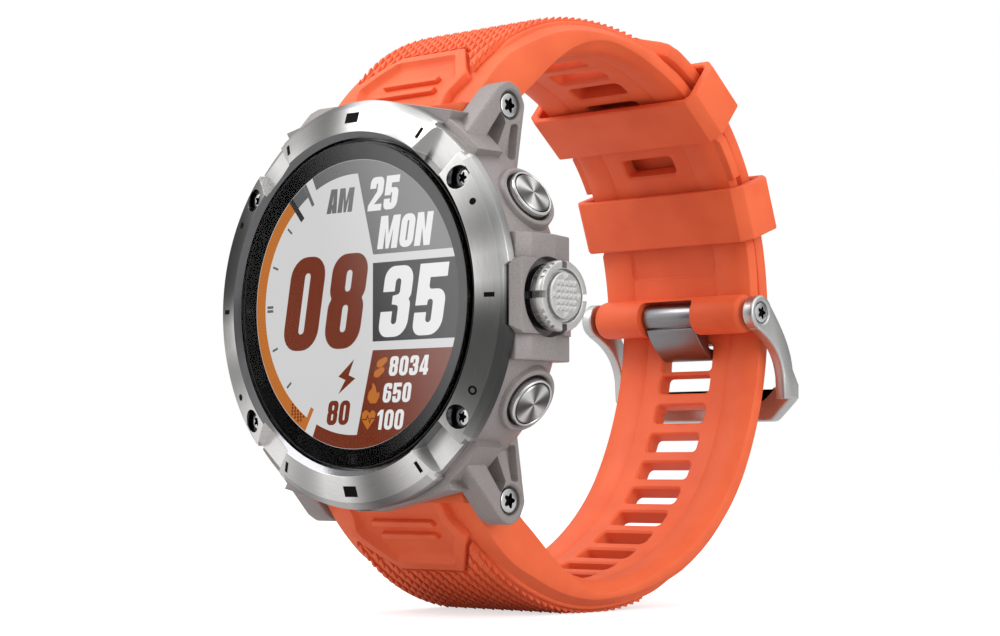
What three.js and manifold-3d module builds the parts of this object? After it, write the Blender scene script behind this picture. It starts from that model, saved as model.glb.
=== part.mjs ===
// A rugged running watch on a buckled silicone strap.
// Millimetres. X points to the crown (3 o'clock), Y points away from the display and
// Z points to 12 o'clock. Every depth below is measured back from the bezel's marked face;
// the finished watch is then moved so that the origin is the centre of the lens's outer face.
import * as THREE from 'three';
import { mergeVertices } from 'three/addons/utils/BufferGeometryUtils.js';
import Module from 'manifold-3d';

const wasm = await Module();
wasm.setup();

// ---------------------------------------------------------------- driving dimensions
const DEGREE = Math.PI / 180;
const ROUND = 48;
const MEDIUM = 24;
const SMALL = 16;
const GAP = 0.1;
const FIT_GAP = 0.3;
const CLEAR = 30;

const CASE_R = 25;
const SEAM_DEPTH = 2.4;
const BACK_DEPTH = 13.4;
const FRONT_CAVITY_R = 21.3;
const CAVITY_R = 18.2;
const CAVITY_STEP_DEPTH = 6.4;
const BACK_LIP_DEPTH = 11.8;

const BEZEL_R = 25.15;
const LENS_R = 20.1;
const LENS_FRONT = -0.3;
const LENS_BACK = 0.36;
const DISPLAY_FRONT = 0.5;

const SCREW_CIRCLE_R = 22.8;
const BEZEL_SCREW_R = 1.05;
const BEZEL_COUNTERBORE_R = 1.45;
const THREAD_BORE_R = 0.8;
const BACK_SCREW_OFFSET = 13.6;
const BACK_THREAD_BORE_R = 0.7;
const LUG_SCREW_R = 1.5;
const LUG_COUNTERBORE_R = 1.85;
const LUG_COUNTERBORE_FLOOR_X = 15.6;
const SCREW_ANGLE = 38.2;
const NOTCH_ANGLE = 50;
const NOTCH_WIDTH = 4.8;
const NOTCH_FLOOR_DEPTH = 1.5;

const CROWN_DEPTH = 7.7;
const CROWN_R = 4.2;
const CROWN_FACE_X = 28.4;
const SEAT_X = 26;
const CROWN_TRAVEL_FLOOR_X = 23.8;
const CROWN_BORE_R = 4.8;
const GUARD_X = 25.6;
const GUARD_Z = 5.95;
const GUARD_HALF_WIDTH = 1.55;
const SEAT_HALF_WIDTH = 4.5;

const BUTTON_ANGLE = 28.6;
const BUTTON_R = 3.05;
const BUTTON_CAP_R = 2.58;
const BUTTON_WELL_FLOOR = 23.3;

const BAR_DEPTH = 10.7;
const BAR_Z = 24;
const BAR_R = 0.9;
const BAR_BORE_R = BAR_R + 0.25;
const BAR_HALF_LENGTH = 13.9;
const ROOT_R = 3.4;
const LUG_INNER_X = 13.2;
const LUG_OUTER_X = 16.8;
const LUG_POCKET = 1.6;
const SHOULDER_R = 25.9;
const SHOULDER_WALL = 1.7;
const SHOULDER_SPREAD = 7;
const SHOULDER_DEPTH = 2.6;
const STRAP_HALF_WIDTH = 13;
const NOSE_R = 4.6;
const RELIEF_R = 4.9;

const STRAP_THICKNESS = 2.7;
const STRAP_ROOT_THICKNESS = 6;
const TAPER_LENGTH = 33;
const KEEPER_ARC_R = 31.1;
const KEEPER_ARC_TURN = 58.7;
const BUCKLE_END_R = 43.2;
const BUCKLE_END_TURN = 21.3;
const STACK_GAP = 0.25;
const SLOT_WIDTH = 8.8;
const SLOT_LENGTH = 2.7;
const SLOT_PITCH = 4.7;
const TONGUE_SLOT_EXTRA = 1.2;
const TONGUE_SLOT_PLACE = 5.5;
const SLOTS_BEFORE = 5;
const SLOTS_AFTER = 9;

const PIN_DEPTH = 64.1;
const PIN_Z = 1.4;
const PIN_R = 0.8;
const PIN_BORE_R = 0.95;
const MOUTH_ABOVE_PIN = 3.2;
const MOUTH_BELOW_PIN = 4;
const MOUTH_CLEARANCE = 0.4;
const TONGUE_EYE_R = 1.9;
const BUCKLE_BOSS_R = 2.4;
const BUCKLE_SCREW_R = 1.4;
const BARREL_R = 2.7;
const ARM_INNER_X = 13.7;
const ARM_OUTER_X = 15.4;
const TONGUE_HALF_WIDTH = 4.3;

const KEEPER_LENGTH = 7.6;
const KEEPER_HALF_WIDTH = 15;
const KEEPER_HALF_HEIGHT = 4.2;
const KEEPER_WALL = 1;
const KEEPER_CHAMFER = 1.4;
const KEEPER_SAG = 0.11;
const KEEPER_SIDE_WALL = 1.5;
const KEEPER_OPENING_CHAMFER = 0.3;
const FREE_KEEPER_PLACE = 16;
const FIXED_KEEPER_PLACE = 1.2;

// ---------------------------------------------------------------- materials
const finish = (color, roughness, metalness) =>
  new THREE.MeshStandardMaterial({ color, roughness, metalness });
const titanium = finish(0xb9b9ba, 0.3, 1);
const polishedSteel = finish(0xc9c9cb, 0.2, 1);
const darkSteel = finish(0x77787b, 0.3, 1);
const taupe = finish(0x9a918f, 0.6, 0.2);
const silicone = finish(0xe8603c, 0.6, 0);
const blackRubber = finish(0x111111, 0.7, 0);
const glass = finish(0x1a1b1d, 0.05, 0);
const screen = finish(0xe0e0e0, 0.4, 0);
const greenBoard = finish(0x1f5a33, 0.6, 0);
const foil = finish(0xb8b8b0, 0.4, 0.6);
const blackPlastic = finish(0x202022, 0.6, 0);

// ---------------------------------------------------------------- solids
// A closed three.js geometry as a solid, turned right side out if its faces point inwards.
function solidOf(geometry) {
  const bare = geometry.index ? geometry.toNonIndexed() : geometry.clone();
  bare.deleteAttribute('normal');
  bare.deleteAttribute('uv');
  const merged = mergeVertices(bare, 1e-5);
  const corners = merged.attributes.position.array;
  const triangles = Uint32Array.from(merged.index.array);
  let volume = 0;
  const a = new THREE.Vector3();
  const b = new THREE.Vector3();
  const c = new THREE.Vector3();
  for (let i = 0; i < triangles.length; i += 3) {
    a.fromArray(corners, 3 * triangles[i]);
    b.fromArray(corners, 3 * triangles[i + 1]);
    c.fromArray(corners, 3 * triangles[i + 2]);
    volume += a.dot(b.cross(c));
  }
  if (volume < 0) {
    for (let i = 0; i < triangles.length; i += 3) {
      [triangles[i], triangles[i + 1]] = [triangles[i + 1], triangles[i]];
    }
  }
  return new wasm.Manifold(
    new wasm.Mesh({ numProp: 3, vertProperties: corners, triVerts: triangles })
  );
}

// The geometry of a solid, ready for a Mesh.
function geometryOf(solid) {
  const mesh = solid.getMesh();
  const geometry = new THREE.BufferGeometry();
  geometry.setAttribute('position', new THREE.BufferAttribute(mesh.vertProperties, 3));
  geometry.setIndex(new THREE.BufferAttribute(mesh.triVerts, 1));
  geometry.computeVertexNormals();
  return geometry;
}

const joined = (...solids) => solids.reduce((whole, solid) => whole.add(solid));
const cut = (solid, ...tools) => tools.reduce((rest, tool) => rest.subtract(tool), solid);

// A solid of revolution about the dial's axis, from [radius, depth] corners.
function turned(corners, segments = ROUND) {
  const profile = corners.map(([r, y]) => new THREE.Vector2(r, y));
  const closesOnAxis = corners[0][0] === 0 && corners.at(-1)[0] === 0;
  if (!closesOnAxis) profile.push(profile[0].clone());
  return new THREE.LatheGeometry(profile, segments);
}

// The same, about the X axis, from [radius, x] corners.
const turnedAlongX = (corners, segments = MEDIUM) => turned(corners, segments).rotateZ(-Math.PI / 2);

// A cylinder along X between two x values, at a given depth and height.
function rodX(radius, x0, x1, y = 0, z = 0, segments = SMALL) {
  const rod = new THREE.CylinderGeometry(radius, radius, x1 - x0, segments);
  return rod.rotateZ(Math.PI / 2).translate((x0 + x1) / 2, y, z);
}

// A cylinder along the dial's axis between two depths, at x and z.
function rodY(radius, y0, y1, x = 0, z = 0, segments = SMALL) {
  return new THREE.CylinderGeometry(radius, radius, y1 - y0, segments).translate(x, (y0 + y1) / 2, z);
}

// A box between two corners.
function box(x0, x1, y0, y1, z0, z1) {
  const block = new THREE.BoxGeometry(x1 - x0, y1 - y0, z1 - z0);
  return block.translate((x0 + x1) / 2, (y0 + y1) / 2, (z0 + z1) / 2);
}

// A shape drawn in [first, second] coordinates.
const shapeOf = (corners) => new THREE.Shape(corners.map(([a, b]) => new THREE.Vector2(a, b)));

// A prism from [depth, z] corners, running from x0 to x1.
function prismX(corners, x0, x1) {
  const options = { depth: x1 - x0, bevelEnabled: false, curveSegments: 6 };
  const prism = new THREE.ExtrudeGeometry(Array.isArray(corners) ? shapeOf(corners) : corners, options);
  return prism.applyMatrix4(
    new THREE.Matrix4().set(0, 0, 1, x0, 1, 0, 0, 0, 0, 1, 0, 0, 0, 0, 0, 1)
  );
}

// A prism from [x, depth] corners, running from z0 to z1.
function prismZ(corners, z0, z1) {
  const options = { depth: z1 - z0, bevelEnabled: false };
  return new THREE.ExtrudeGeometry(shapeOf(corners), options).translate(0, 0, z0);
}

// A prism from [x, z] corners, running from depth y0 to y1.
function prismY(corners, y0, y1) {
  const options = { depth: y1 - y0, bevelEnabled: false, curveSegments: 6 };
  const prism = new THREE.ExtrudeGeometry(Array.isArray(corners) ? shapeOf(corners) : corners, options);
  return prism.rotateX(Math.PI / 2).translate(0, y1, 0);
}

const mirroredZ = (corners) => corners.map(([y, z]) => [y, -z]);
const onCircle = (radius, degrees) => [
  radius * Math.cos(degrees * DEGREE),
  radius * Math.sin(degrees * DEGREE),
];

// ---------------------------------------------------------------- strap paths
// A path of tangent arcs in the (depth, z) plane. Each arc is [radius, turn in degrees], and
// at(s) gives the place and the heading after s millimetres.
function arcPath(start, heading, arcs) {
  const stretches = [];
  let [y, z] = start;
  let angle = heading * DEGREE;
  for (const [radius, turn] of arcs) {
    const side = Math.sign(turn);
    const centre = [y - side * radius * Math.sin(angle), z + side * radius * Math.cos(angle)];
    stretches.push({ radius, side, centre, angle, length: radius * Math.abs(turn) * DEGREE });
    angle += turn * DEGREE;
    y = centre[0] + side * radius * Math.sin(angle);
    z = centre[1] - side * radius * Math.cos(angle);
  }
  const length = stretches.reduce((sum, stretch) => sum + stretch.length, 0);
  const at = (s) => {
    let left = s;
    let stretch = stretches[0];
    for (stretch of stretches) {
      if (left <= stretch.length || stretch === stretches.at(-1)) break;
      left -= stretch.length;
    }
    const reach = Math.min(left, stretch.length);
    const bearing = stretch.angle + (stretch.side * reach) / stretch.radius;
    return {
      y: stretch.centre[0] + stretch.side * stretch.radius * Math.sin(bearing),
      z: stretch.centre[1] - stretch.side * stretch.radius * Math.cos(bearing),
      heading: bearing,
    };
  };
  return { at, length, stretches };
}

// The point a given distance to the left of a path (outwards on both straps, which are
// followed clockwise).
function beside(path, s, distance) {
  const { y, z, heading } = path.at(s);
  return [y - distance * Math.sin(heading), z + distance * Math.cos(heading)];
}

// The part of a path between two lengths, as a band reaching from one offset to another.
function bandProfile(path, from, to, outer, inner, steps) {
  const near = [];
  const far = [];
  for (let i = 0; i <= steps; i += 1) {
    const s = from + ((to - from) * i) / steps;
    near.push(beside(path, s, outer(s)));
    far.unshift(beside(path, s, inner(s)));
  }
  return [...near, ...far];
}

// A box of a given width, length and height, centred on a path's surface point and turned
// along the path.
function blockOnPath(path, s, width, length, height, lift = 0) {
  const { heading } = path.at(s);
  const [y, z] = beside(path, s, lift);
  const block = new THREE.BoxGeometry(width, length, height);
  return block.rotateX(heading).translate(0, y, z);
}

// ---------------------------------------------------------------- scene graph
const watch = new THREE.Group();

// Adds a finished solid to a group as one named piece.
function addPiece(name, solid, material, group = watch) {
  const mesh = new THREE.Mesh(geometryOf(solid), material);
  mesh.name = name;
  group.add(mesh);
}

const addTurned = (name, corners, material, segments) =>
  addPiece(name, solidOf(turned(corners, segments)), material);

// ---------------------------------------------------------------- case
const SIDES = [['upper', 1], ['lower', -1]];
const FOUR = [1, -1].flatMap((sx) => [1, -1].map((sz) => [sx, sz]));
const spot = (sx, sz) => `${sz > 0 ? 'upper' : 'lower'}_${sx > 0 ? 'right' : 'left'}`;

// The round body with its cavity, its lip for the back and the groove for the back's gasket.
const caseDrum = solidOf(turned([
  [FRONT_CAVITY_R, SEAM_DEPTH + GAP],
  [24.7, SEAM_DEPTH + GAP],
  [CASE_R, 5.8],
  [24.6, 9.5],
  [22.4, BACK_DEPTH],
  [17.2, BACK_DEPTH],
  [17.2, 12.7],
  [16.3, 12.7],
  [16.3, BACK_DEPTH],
  [15.6, BACK_DEPTH],
  [15.6, BACK_LIP_DEPTH],
  [CAVITY_R, BACK_LIP_DEPTH],
  [CAVITY_R, CAVITY_STEP_DEPTH],
  [FRONT_CAVITY_R, CAVITY_STEP_DEPTH],
]));

// One lug: a tapering plate with two triangular pockets that leave ribs to the screw boss.
function lug(sx, sz) {
  const side = sz > 0 ? (corners) => corners : mirroredZ;
  const outline = [
    [3, 16.5],
    [3, 20.3],
    [8.9, 26.4],
    [10.4, 27],
    [12.2, 26.3],
    [13.3, 24.3],
    [12.7, 20.8],
    [11.9, 16.5],
  ];
  const frontPocket = [[8.7, 23.2], [5.3, 17.8], [7.2, 17.8], [8.2, 19.2], [9.4, 21.6]];
  const backPocket = [[10.5, 21.4], [11.8, 21.6], [11.2, 17.8], [9.2, 17.8]];
  const plate = solidOf(prismX(side(outline), LUG_INNER_X, LUG_OUTER_X));
  const pocketFloor = LUG_OUTER_X - LUG_POCKET;
  const ribbed = cut(
    plate,
    solidOf(prismX(side(frontPocket), pocketFloor, LUG_OUTER_X + 1)),
    solidOf(prismX(side(backPocket), pocketFloor, LUG_OUTER_X + 1)),
    solidOf(rodX(BAR_BORE_R, LUG_INNER_X - 1, LUG_OUTER_X, BAR_DEPTH, sz * BAR_Z)),
    solidOf(rodX(LUG_COUNTERBORE_R, LUG_COUNTERBORE_FLOOR_X, LUG_OUTER_X + 1, BAR_DEPTH, sz * BAR_Z))
  );
  return sx > 0 ? ribbed : ribbed.mirror([1, 0, 0]);
}

// A curved wall that rises in front of each lug, outside the bezel's notch, and the rim that
// runs from it towards the middle of the strap.
function lugShoulder(sx, sz) {
  const from = (NOTCH_ANGLE - SHOULDER_SPREAD) * DEGREE;
  const to = (NOTCH_ANGLE + SHOULDER_SPREAD) * DEGREE;
  const wall = new THREE.Shape();
  wall.absarc(0, 0, SHOULDER_R, from, to, false);
  wall.absarc(0, 0, SHOULDER_R - SHOULDER_WALL, to, from, true);
  const rim = solidOf(prismY([[4, 25], [14.6, 22.6], [13.4, 20.6], [4, 23]], SHOULDER_DEPTH, 5.6));
  const front = joined(solidOf(prismY(wall, SHOULDER_DEPTH, 7)), rim);
  const placed = sx > 0 ? front : front.mirror([1, 0, 0]);
  return sz > 0 ? placed : placed.mirror([0, 0, 1]);
}

// The guards above and below the crown, and the seat between them.
const guardSection = [
  [22, 2.7],
  [24.6, 2.7],
  [GUARD_X, 4.6],
  [GUARD_X, 9.4],
  [24.4, 12.9],
  [22, 12.9],
];
const crownGuards = SIDES.map(([, sz]) => {
  const middle = GUARD_Z * sz;
  return solidOf(prismZ(guardSection, middle - GUARD_HALF_WIDTH, middle + GUARD_HALF_WIDTH));
});
const seatSection = [[22, 2.6], [25.3, 2.6], [SEAT_X, 3.4], [SEAT_X, 10], [24.6, 13], [22, 13]];
const tongueSection = [[24, 2.75], [24.6, 2.75], [24.75, 1.2], [SEAT_X, 2.2], [SEAT_X, 5], [24, 5]];
const crownSeat = joined(
  solidOf(prismZ(seatSection, -SEAT_HALF_WIDTH, SEAT_HALF_WIDTH)),
  solidOf(prismZ(tongueSection, -3.3, 3.3))
);
const crownBore = solidOf(rodX(CROWN_BORE_R, CROWN_TRAVEL_FLOOR_X, CLEAR, CROWN_DEPTH, 0, MEDIUM));
const crownTubeBore = solidOf(rodX(2, 15, 25, CROWN_DEPTH));

// A piece drawn along X through the crown's axis, swung round to a button's axis.
const toButton = (geometry, sz) => geometry.translate(0, CROWN_DEPTH, 0).rotateY(-sz * BUTTON_ANGLE * DEGREE);
const collarCorners = [[0, 22.3], [4.9, 22.3], [3.9, 25.6], [0, 25.6]];
const buttonCollar = (sz) => solidOf(toButton(turnedAlongX(collarCorners), sz));
const buttonBore = (sz) => joined(
  solidOf(toButton(rodX(BUTTON_R + FIT_GAP, BUTTON_WELL_FLOOR, CLEAR, 0, 0, MEDIUM), sz)),
  solidOf(toButton(rodX(1.4, 15, 24), sz))
);

// The clearance for a strap's end between two lugs.
const strapRelief = (sz) => joined(
  solidOf(rodX(RELIEF_R, -LUG_INNER_X, LUG_INNER_X, BAR_DEPTH, sz * BAR_Z, MEDIUM)),
  solidOf(box(-LUG_INNER_X, LUG_INNER_X, BAR_DEPTH, 15, sz * 23.6 - 4.5, sz * 23.6 + 4.5))
);

const bezelScrewSpots = FOUR.map(([sx, sz]) => {
  const [x, z] = onCircle(SCREW_CIRCLE_R, SCREW_ANGLE);
  return { name: spot(sx, sz), x: sx * x, z: sz * z };
});

let body = cut(caseDrum, strapRelief(1), strapRelief(-1));
body = joined(body, crownSeat, ...crownGuards, buttonCollar(1), buttonCollar(-1));
for (const [sx, sz] of FOUR) body = joined(body, lug(sx, sz), lugShoulder(sx, sz));
body = cut(body, crownBore, crownTubeBore, buttonBore(1), buttonBore(-1));
for (const { x, z } of bezelScrewSpots) body = cut(body, solidOf(rodY(THREAD_BORE_R, 1, 6, x, z, 12)));
for (const [sx, sz] of FOUR) {
  const [x, z] = [sx * BACK_SCREW_OFFSET, sz * BACK_SCREW_OFFSET];
  body = cut(body, solidOf(rodY(BACK_THREAD_BORE_R, 12, 15, x, z, 12)));
}
addPiece('mid_case', body, taupe);

// ---------------------------------------------------------------- bezel and lens
let bezel = solidOf(turned([
  [18.7, 1.4],
  [20.4, 1.4],
  [20.4, -0.1],
  [21.2, -0.55],
  [24.4, 0.5],
  [BEZEL_R, 1.3],
  [BEZEL_R, SEAM_DEPTH],
  [18.7, SEAM_DEPTH],
]));
for (const angle of [NOTCH_ANGLE, 180 - NOTCH_ANGLE, 180 + NOTCH_ANGLE, -NOTCH_ANGLE]) {
  const notch = box(20.8, 27, -2, NOTCH_FLOOR_DEPTH, -NOTCH_WIDTH / 2, NOTCH_WIDTH / 2);
  const edge = box(24.5, 27, -2, 4, -NOTCH_WIDTH / 2 - 0.9, NOTCH_WIDTH / 2 + 0.9);
  bezel = cut(
    bezel,
    solidOf(notch.rotateY(-angle * DEGREE)),
    solidOf(edge.rotateY(-angle * DEGREE))
  );
}
for (const { x, z } of bezelScrewSpots) {
  const counterbore = solidOf(rodY(BEZEL_COUNTERBORE_R, -2, NOTCH_FLOOR_DEPTH, x, z));
  bezel = cut(bezel, counterbore, solidOf(rodY(THREAD_BORE_R, 0, 4, x, z, 12)));
}
bezel = cut(bezel, solidOf(box(24.3, 27, 0.7, 4, -3.6, 3.6)));
addPiece('bezel', bezel, titanium);

addTurned('lens', [
  [0, LENS_FRONT],
  [LENS_R - 0.4, LENS_FRONT],
  [LENS_R, -0.1],
  [LENS_R, LENS_BACK],
  [0, LENS_BACK],
], glass);
addTurned('lens_gasket', [
  [18.9, LENS_BACK + GAP],
  [20.2, LENS_BACK + GAP],
  [20.2, 1.3],
  [18.9, 1.3],
], blackRubber);
addTurned('display_module', [[0, DISPLAY_FRONT], [18.4, DISPLAY_FRONT], [18.4, 2.6], [0, 2.6]], screen);
for (const { name, x, z } of bezelScrewSpots) {
  const head = solidOf(rodY(BEZEL_SCREW_R, 0.85, 1.45, x, z));
  const screw = joined(head, solidOf(rodY(0.65, 1.4, 5.5, x, z, 10)));
  addPiece(`bezel_screw_${name}`, screw, polishedSteel);
}

// ---------------------------------------------------------------- inside the case
addTurned('antenna_ring', [[18.8, 2.6], [21, 2.6], [21, 3.1], [18.8, 3.1]], foil);
addTurned('inner_frame', [[18.9, 3.3], [21, 3.3], [21, 5.5], [18.9, 5.5]], blackPlastic);
addTurned('main_board', [[0, 4.2], [18.6, 4.2], [18.6, 5], [0, 5]], greenBoard, 48);
addPiece('battery', solidOf(box(-13, 12, 5.8, 10.4, -9.5, 9.5)), foil);
addPiece('vibration_motor', solidOf(rodY(3.6, 6, 8.8, -3, -13.8)), polishedSteel);
addTurned('sensor_board', [[0, 10.8], [12, 10.8], [12, 11.5], [0, 11.5]], greenBoard, 40);

// ---------------------------------------------------------------- case back
const BACK_R = 20.6;
const BACK_FLAT_Z = 18.8;
const BACK_FACE_DEPTH = 14.4;
const WINDOW_R = 12.4;
let backCover = solidOf(turned([
  [WINDOW_R + 0.2, BACK_DEPTH + GAP],
  [BACK_R, BACK_DEPTH + GAP],
  [BACK_R - 0.4, BACK_FACE_DEPTH],
  [WINDOW_R + 0.2, BACK_FACE_DEPTH],
]));
for (const [, sz] of SIDES) {
  const middle = sz * (BACK_FLAT_Z + 2);
  backCover = cut(backCover, solidOf(box(-CLEAR, CLEAR, 12, 16, middle - 2, middle + 2)));
}
for (const [sx, sz] of FOUR) {
  const [x, z] = [sx * BACK_SCREW_OFFSET, sz * BACK_SCREW_OFFSET];
  const bore = solidOf(rodY(BACK_THREAD_BORE_R, 12, 16, x, z, 12));
  backCover = cut(backCover, bore, solidOf(rodY(1.2, 13.95, 16, x, z)));
  const screw = joined(solidOf(rodY(1.05, 14, 14.35, x, z)), solidOf(rodY(0.6, 12.1, 14.1, x, z, 10)));
  addPiece(`back_screw_${spot(sx, sz)}`, screw, polishedSteel);
}
const PORT_Z = -15.6;
backCover = cut(backCover, solidOf(box(-4, 4, 12, 16, PORT_Z - 1.5, PORT_Z + 1.5)));
addPiece('back_cover', backCover, blackPlastic);
addPiece('charging_port', solidOf(box(-3.8, 3.8, 13.55, 14.2, PORT_Z - 1.3, PORT_Z + 1.3)), blackRubber);
addTurned('back_gasket', [
  [16.4, 12.8],
  [17.1, 12.8],
  [17.1, BACK_DEPTH],
  [16.4, BACK_DEPTH],
], blackRubber);
addTurned('sensor_window', [
  [0, BACK_DEPTH + GAP],
  [WINDOW_R, BACK_DEPTH + GAP],
  [WINDOW_R, 14.5],
  [11, 15.1],
  [8, 15.4],
  [0, 15.4],
], glass, 48);

// ---------------------------------------------------------------- crown
const addOnCrownAxis = (name, corners, material, segments) =>
  addPiece(name, solidOf(turnedAlongX(corners, segments).translate(0, CROWN_DEPTH, 0)), material);

addOnCrownAxis('crown_tube', [[1.3, 18.6], [1.8, 18.6], [1.8, 23.5], [1.3, 23.5]], darkSteel, SMALL);
addOnCrownAxis('crown_seal', [[0.95, 20], [1.2, 20], [1.2, 21], [0.95, 21]], blackRubber, SMALL);
addOnCrownAxis('crown_stem', [[0, 15.8], [0.85, 15.8], [0.85, 26.6], [0, 26.6]], polishedSteel, SMALL);
addPiece('crown_switch', solidOf(box(14.2, 15.1, CROWN_DEPTH - 1.5, CROWN_DEPTH + 1.5, -1.5, 1.5)), blackPlastic);
let knob = solidOf(turnedAlongX([
  [1, 24.6],
  [3.9, 24.6],
  [3.9, 25.8],
  [CROWN_R, 26],
  [CROWN_R, 27.7],
  [3.9, 28],
  [3.1, 28],
  [3.1, 27.2],
  [0, 27.2],
  [0, 26.8],
  [1, 26.8],
]).translate(0, CROWN_DEPTH, 0));
for (const turn of [0, 90, 180, 270]) {
  const slot = box(26, 29, 3.3, 5, -0.45, 0.45).rotateX(turn * DEGREE).translate(0, CROWN_DEPTH, 0);
  knob = cut(knob, solidOf(slot));
}
addPiece('crown_knob', knob, titanium);
addOnCrownAxis('crown_cap', [
  [0, 27.3],
  [2.8, 27.3],
  [2.8, 28.1],
  [2.6, CROWN_FACE_X],
  [0, CROWN_FACE_X],
], polishedSteel);

// ---------------------------------------------------------------- buttons
for (const [side, sz] of SIDES) {
  const group = new THREE.Group();
  group.rotation.y = -sz * BUTTON_ANGLE * DEGREE;
  watch.add(group);
  const add = (part, corners, material, segments) => {
    const solid = solidOf(turnedAlongX(corners, segments).translate(0, CROWN_DEPTH, 0));
    addPiece(`${side}_button_${part}`, solid, material, group);
  };
  add('ring', [
    [0, 24.2],
    [BUTTON_R, 24.2],
    [BUTTON_R, 26],
    [BUTTON_R - 0.15, 26.15],
    [2.7, 26.15],
    [2.7, 24.7],
    [0, 24.7],
  ], titanium);
  add('cap', [
    [0, 24.8],
    [BUTTON_CAP_R, 24.8],
    [BUTTON_CAP_R, 26.15],
    [BUTTON_CAP_R - 0.13, 26.3],
    [0, 26.3],
  ], polishedSteel);
  add('stem', [[0, 17.2], [0.7, 17.2], [0.7, 24.1], [0, 24.1]], darkSteel, SMALL);
  add('seal', [[0.8, 20.4], [1.1, 20.4], [1.1, 21.3], [0.8, 21.3]], blackRubber, SMALL);
  const switchBody = box(15.4, 16.3, CROWN_DEPTH - 1.3, CROWN_DEPTH + 1.3, -1.5, 1.5);
  addPiece(`${side}_button_switch`, solidOf(switchBody), blackPlastic, group);
}

// ---------------------------------------------------------------- lug bars and their screws
for (const [side, sz] of SIDES) {
  const bar = rodX(BAR_R, -BAR_HALF_LENGTH, BAR_HALF_LENGTH, BAR_DEPTH, sz * BAR_Z);
  addPiece(`${side}_lug_bar`, solidOf(bar), polishedSteel);
  for (const [hand, sx] of [['right', 1], ['left', -1]]) {
    const screw = joined(
      solidOf(rodX(LUG_SCREW_R, LUG_COUNTERBORE_FLOOR_X + 0.15, 16.5, BAR_DEPTH, sz * BAR_Z)),
      solidOf(rodX(0.85, 14.1, 15.9, BAR_DEPTH, sz * BAR_Z))
    );
    addPiece(`lug_screw_${side}_${hand}`, sx > 0 ? screw : screw.mirror([1, 0, 0]), polishedSteel);
  }
}

// ---------------------------------------------------------------- straps
// The buckle strap's outer surface, from the upper lugs to the buckle.
const KEEPER_ARC = 2;
const BUCKLE_END_ARC = 3;
const bucklePath = arcPath([10.5, 27.6], 49, [
  [27.6, -43.4],
  [43.2, -15.6],
  [KEEPER_ARC_R, -KEEPER_ARC_TURN],
  [BUCKLE_END_R, -BUCKLE_END_TURN],
]);
const lengthBefore = (path, arc) => path.stretches.slice(0, arc).reduce((sum, piece) => sum + piece.length, 0);
const keeperArcStart = lengthBefore(bucklePath, KEEPER_ARC);
const buckleEndStart = lengthBefore(bucklePath, BUCKLE_END_ARC);
const FREE_KEEPER_S = keeperArcStart + FREE_KEEPER_PLACE;
const FIXED_KEEPER_S = buckleEndStart + FIXED_KEEPER_PLACE;

// The hole strap's outer surface, from its tip, over the buckle strap, to the lower lugs.
const STACK = STRAP_THICKNESS + STACK_GAP;
const TIP_TURN = 4.5;
const tipS = keeperArcStart + TIP_TURN;
const holePath = arcPath(beside(bucklePath, tipS, STACK), bucklePath.at(tipS).heading / DEGREE, [
  [KEEPER_ARC_R + STACK, -(KEEPER_ARC_TURN - TIP_TURN / KEEPER_ARC_R / DEGREE)],
  [BUCKLE_END_R + STACK, -BUCKLE_END_TURN],
  [45.5, -28.9],
  [31.4, -39.4],
  [43.5, -21],
  [29, -49.7],
]);
const passesPin = lengthBefore(holePath, 2);

// A strap's band, thick at the lug and thin along the rest.
function strapBand(path, rootAt, rootLength, steps) {
  const thickness = (s) => {
    const fromRoot = Math.min(1, Math.abs(s - rootAt) / rootLength);
    return STRAP_THICKNESS + (STRAP_ROOT_THICKNESS - STRAP_THICKNESS) * (1 - fromRoot);
  };
  const profile = bandProfile(path, 0, path.length, () => 0, (s) => -thickness(s), steps);
  return solidOf(prismX(profile, -STRAP_HALF_WIDTH, STRAP_HALF_WIDTH));
}

// The rounded end that surrounds a lug bar, with the nose that fills the gap to the case.
function strapRoot(sz) {
  const nose = solidOf(rodX(NOSE_R, -STRAP_HALF_WIDTH, STRAP_HALF_WIDTH, BAR_DEPTH, sz * BAR_Z, MEDIUM));
  const reach = solidOf(box(-CLEAR, CLEAR, 5.5, 11.5, sz * 23.7 - 2.9, sz * 23.7 + 2.9));
  const barrel = solidOf(rodX(ROOT_R, -STRAP_HALF_WIDTH, STRAP_HALF_WIDTH, BAR_DEPTH, sz * BAR_Z, MEDIUM));
  return joined(nose.intersect(reach), barrel);
}

const slotOnPath = (path, s, length = SLOT_LENGTH) => solidOf(blockOnPath(path, s, SLOT_WIDTH, length, 9));

const MOUTH_HALF_WIDTH = TONGUE_HALF_WIDTH + MOUTH_CLEARANCE;
let buckleStrap = joined(
  strapBand(bucklePath, 0, TAPER_LENGTH, 34),
  strapRoot(1),
  solidOf(rodX(BARREL_R, -STRAP_HALF_WIDTH, STRAP_HALF_WIDTH, PIN_DEPTH, PIN_Z, MEDIUM))
);
buckleStrap = cut(
  buckleStrap,
  solidOf(rodX(BAR_BORE_R, -CLEAR, CLEAR, BAR_DEPTH, BAR_Z)),
  solidOf(rodX(PIN_R + 0.2, -CLEAR, CLEAR, PIN_DEPTH, PIN_Z)),
  solidOf(box(
    -MOUTH_HALF_WIDTH,
    MOUTH_HALF_WIDTH,
    PIN_DEPTH - 5,
    PIN_DEPTH + 5,
    PIN_Z - MOUTH_BELOW_PIN,
    PIN_Z + MOUTH_ABOVE_PIN
  ))
);
const BELOW_KEEPER = 8.4;
const ABOVE_KEEPER = -2.9;
const buckleSlots = [BELOW_KEEPER, ...[0, 1, 2, 3].map((i) => ABOVE_KEEPER - i * SLOT_PITCH)];
for (const fromKeeper of buckleSlots) {
  buckleStrap = cut(buckleStrap, slotOnPath(bucklePath, FREE_KEEPER_S + fromKeeper));
}
addPiece('buckle_strap', buckleStrap, silicone);

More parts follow.
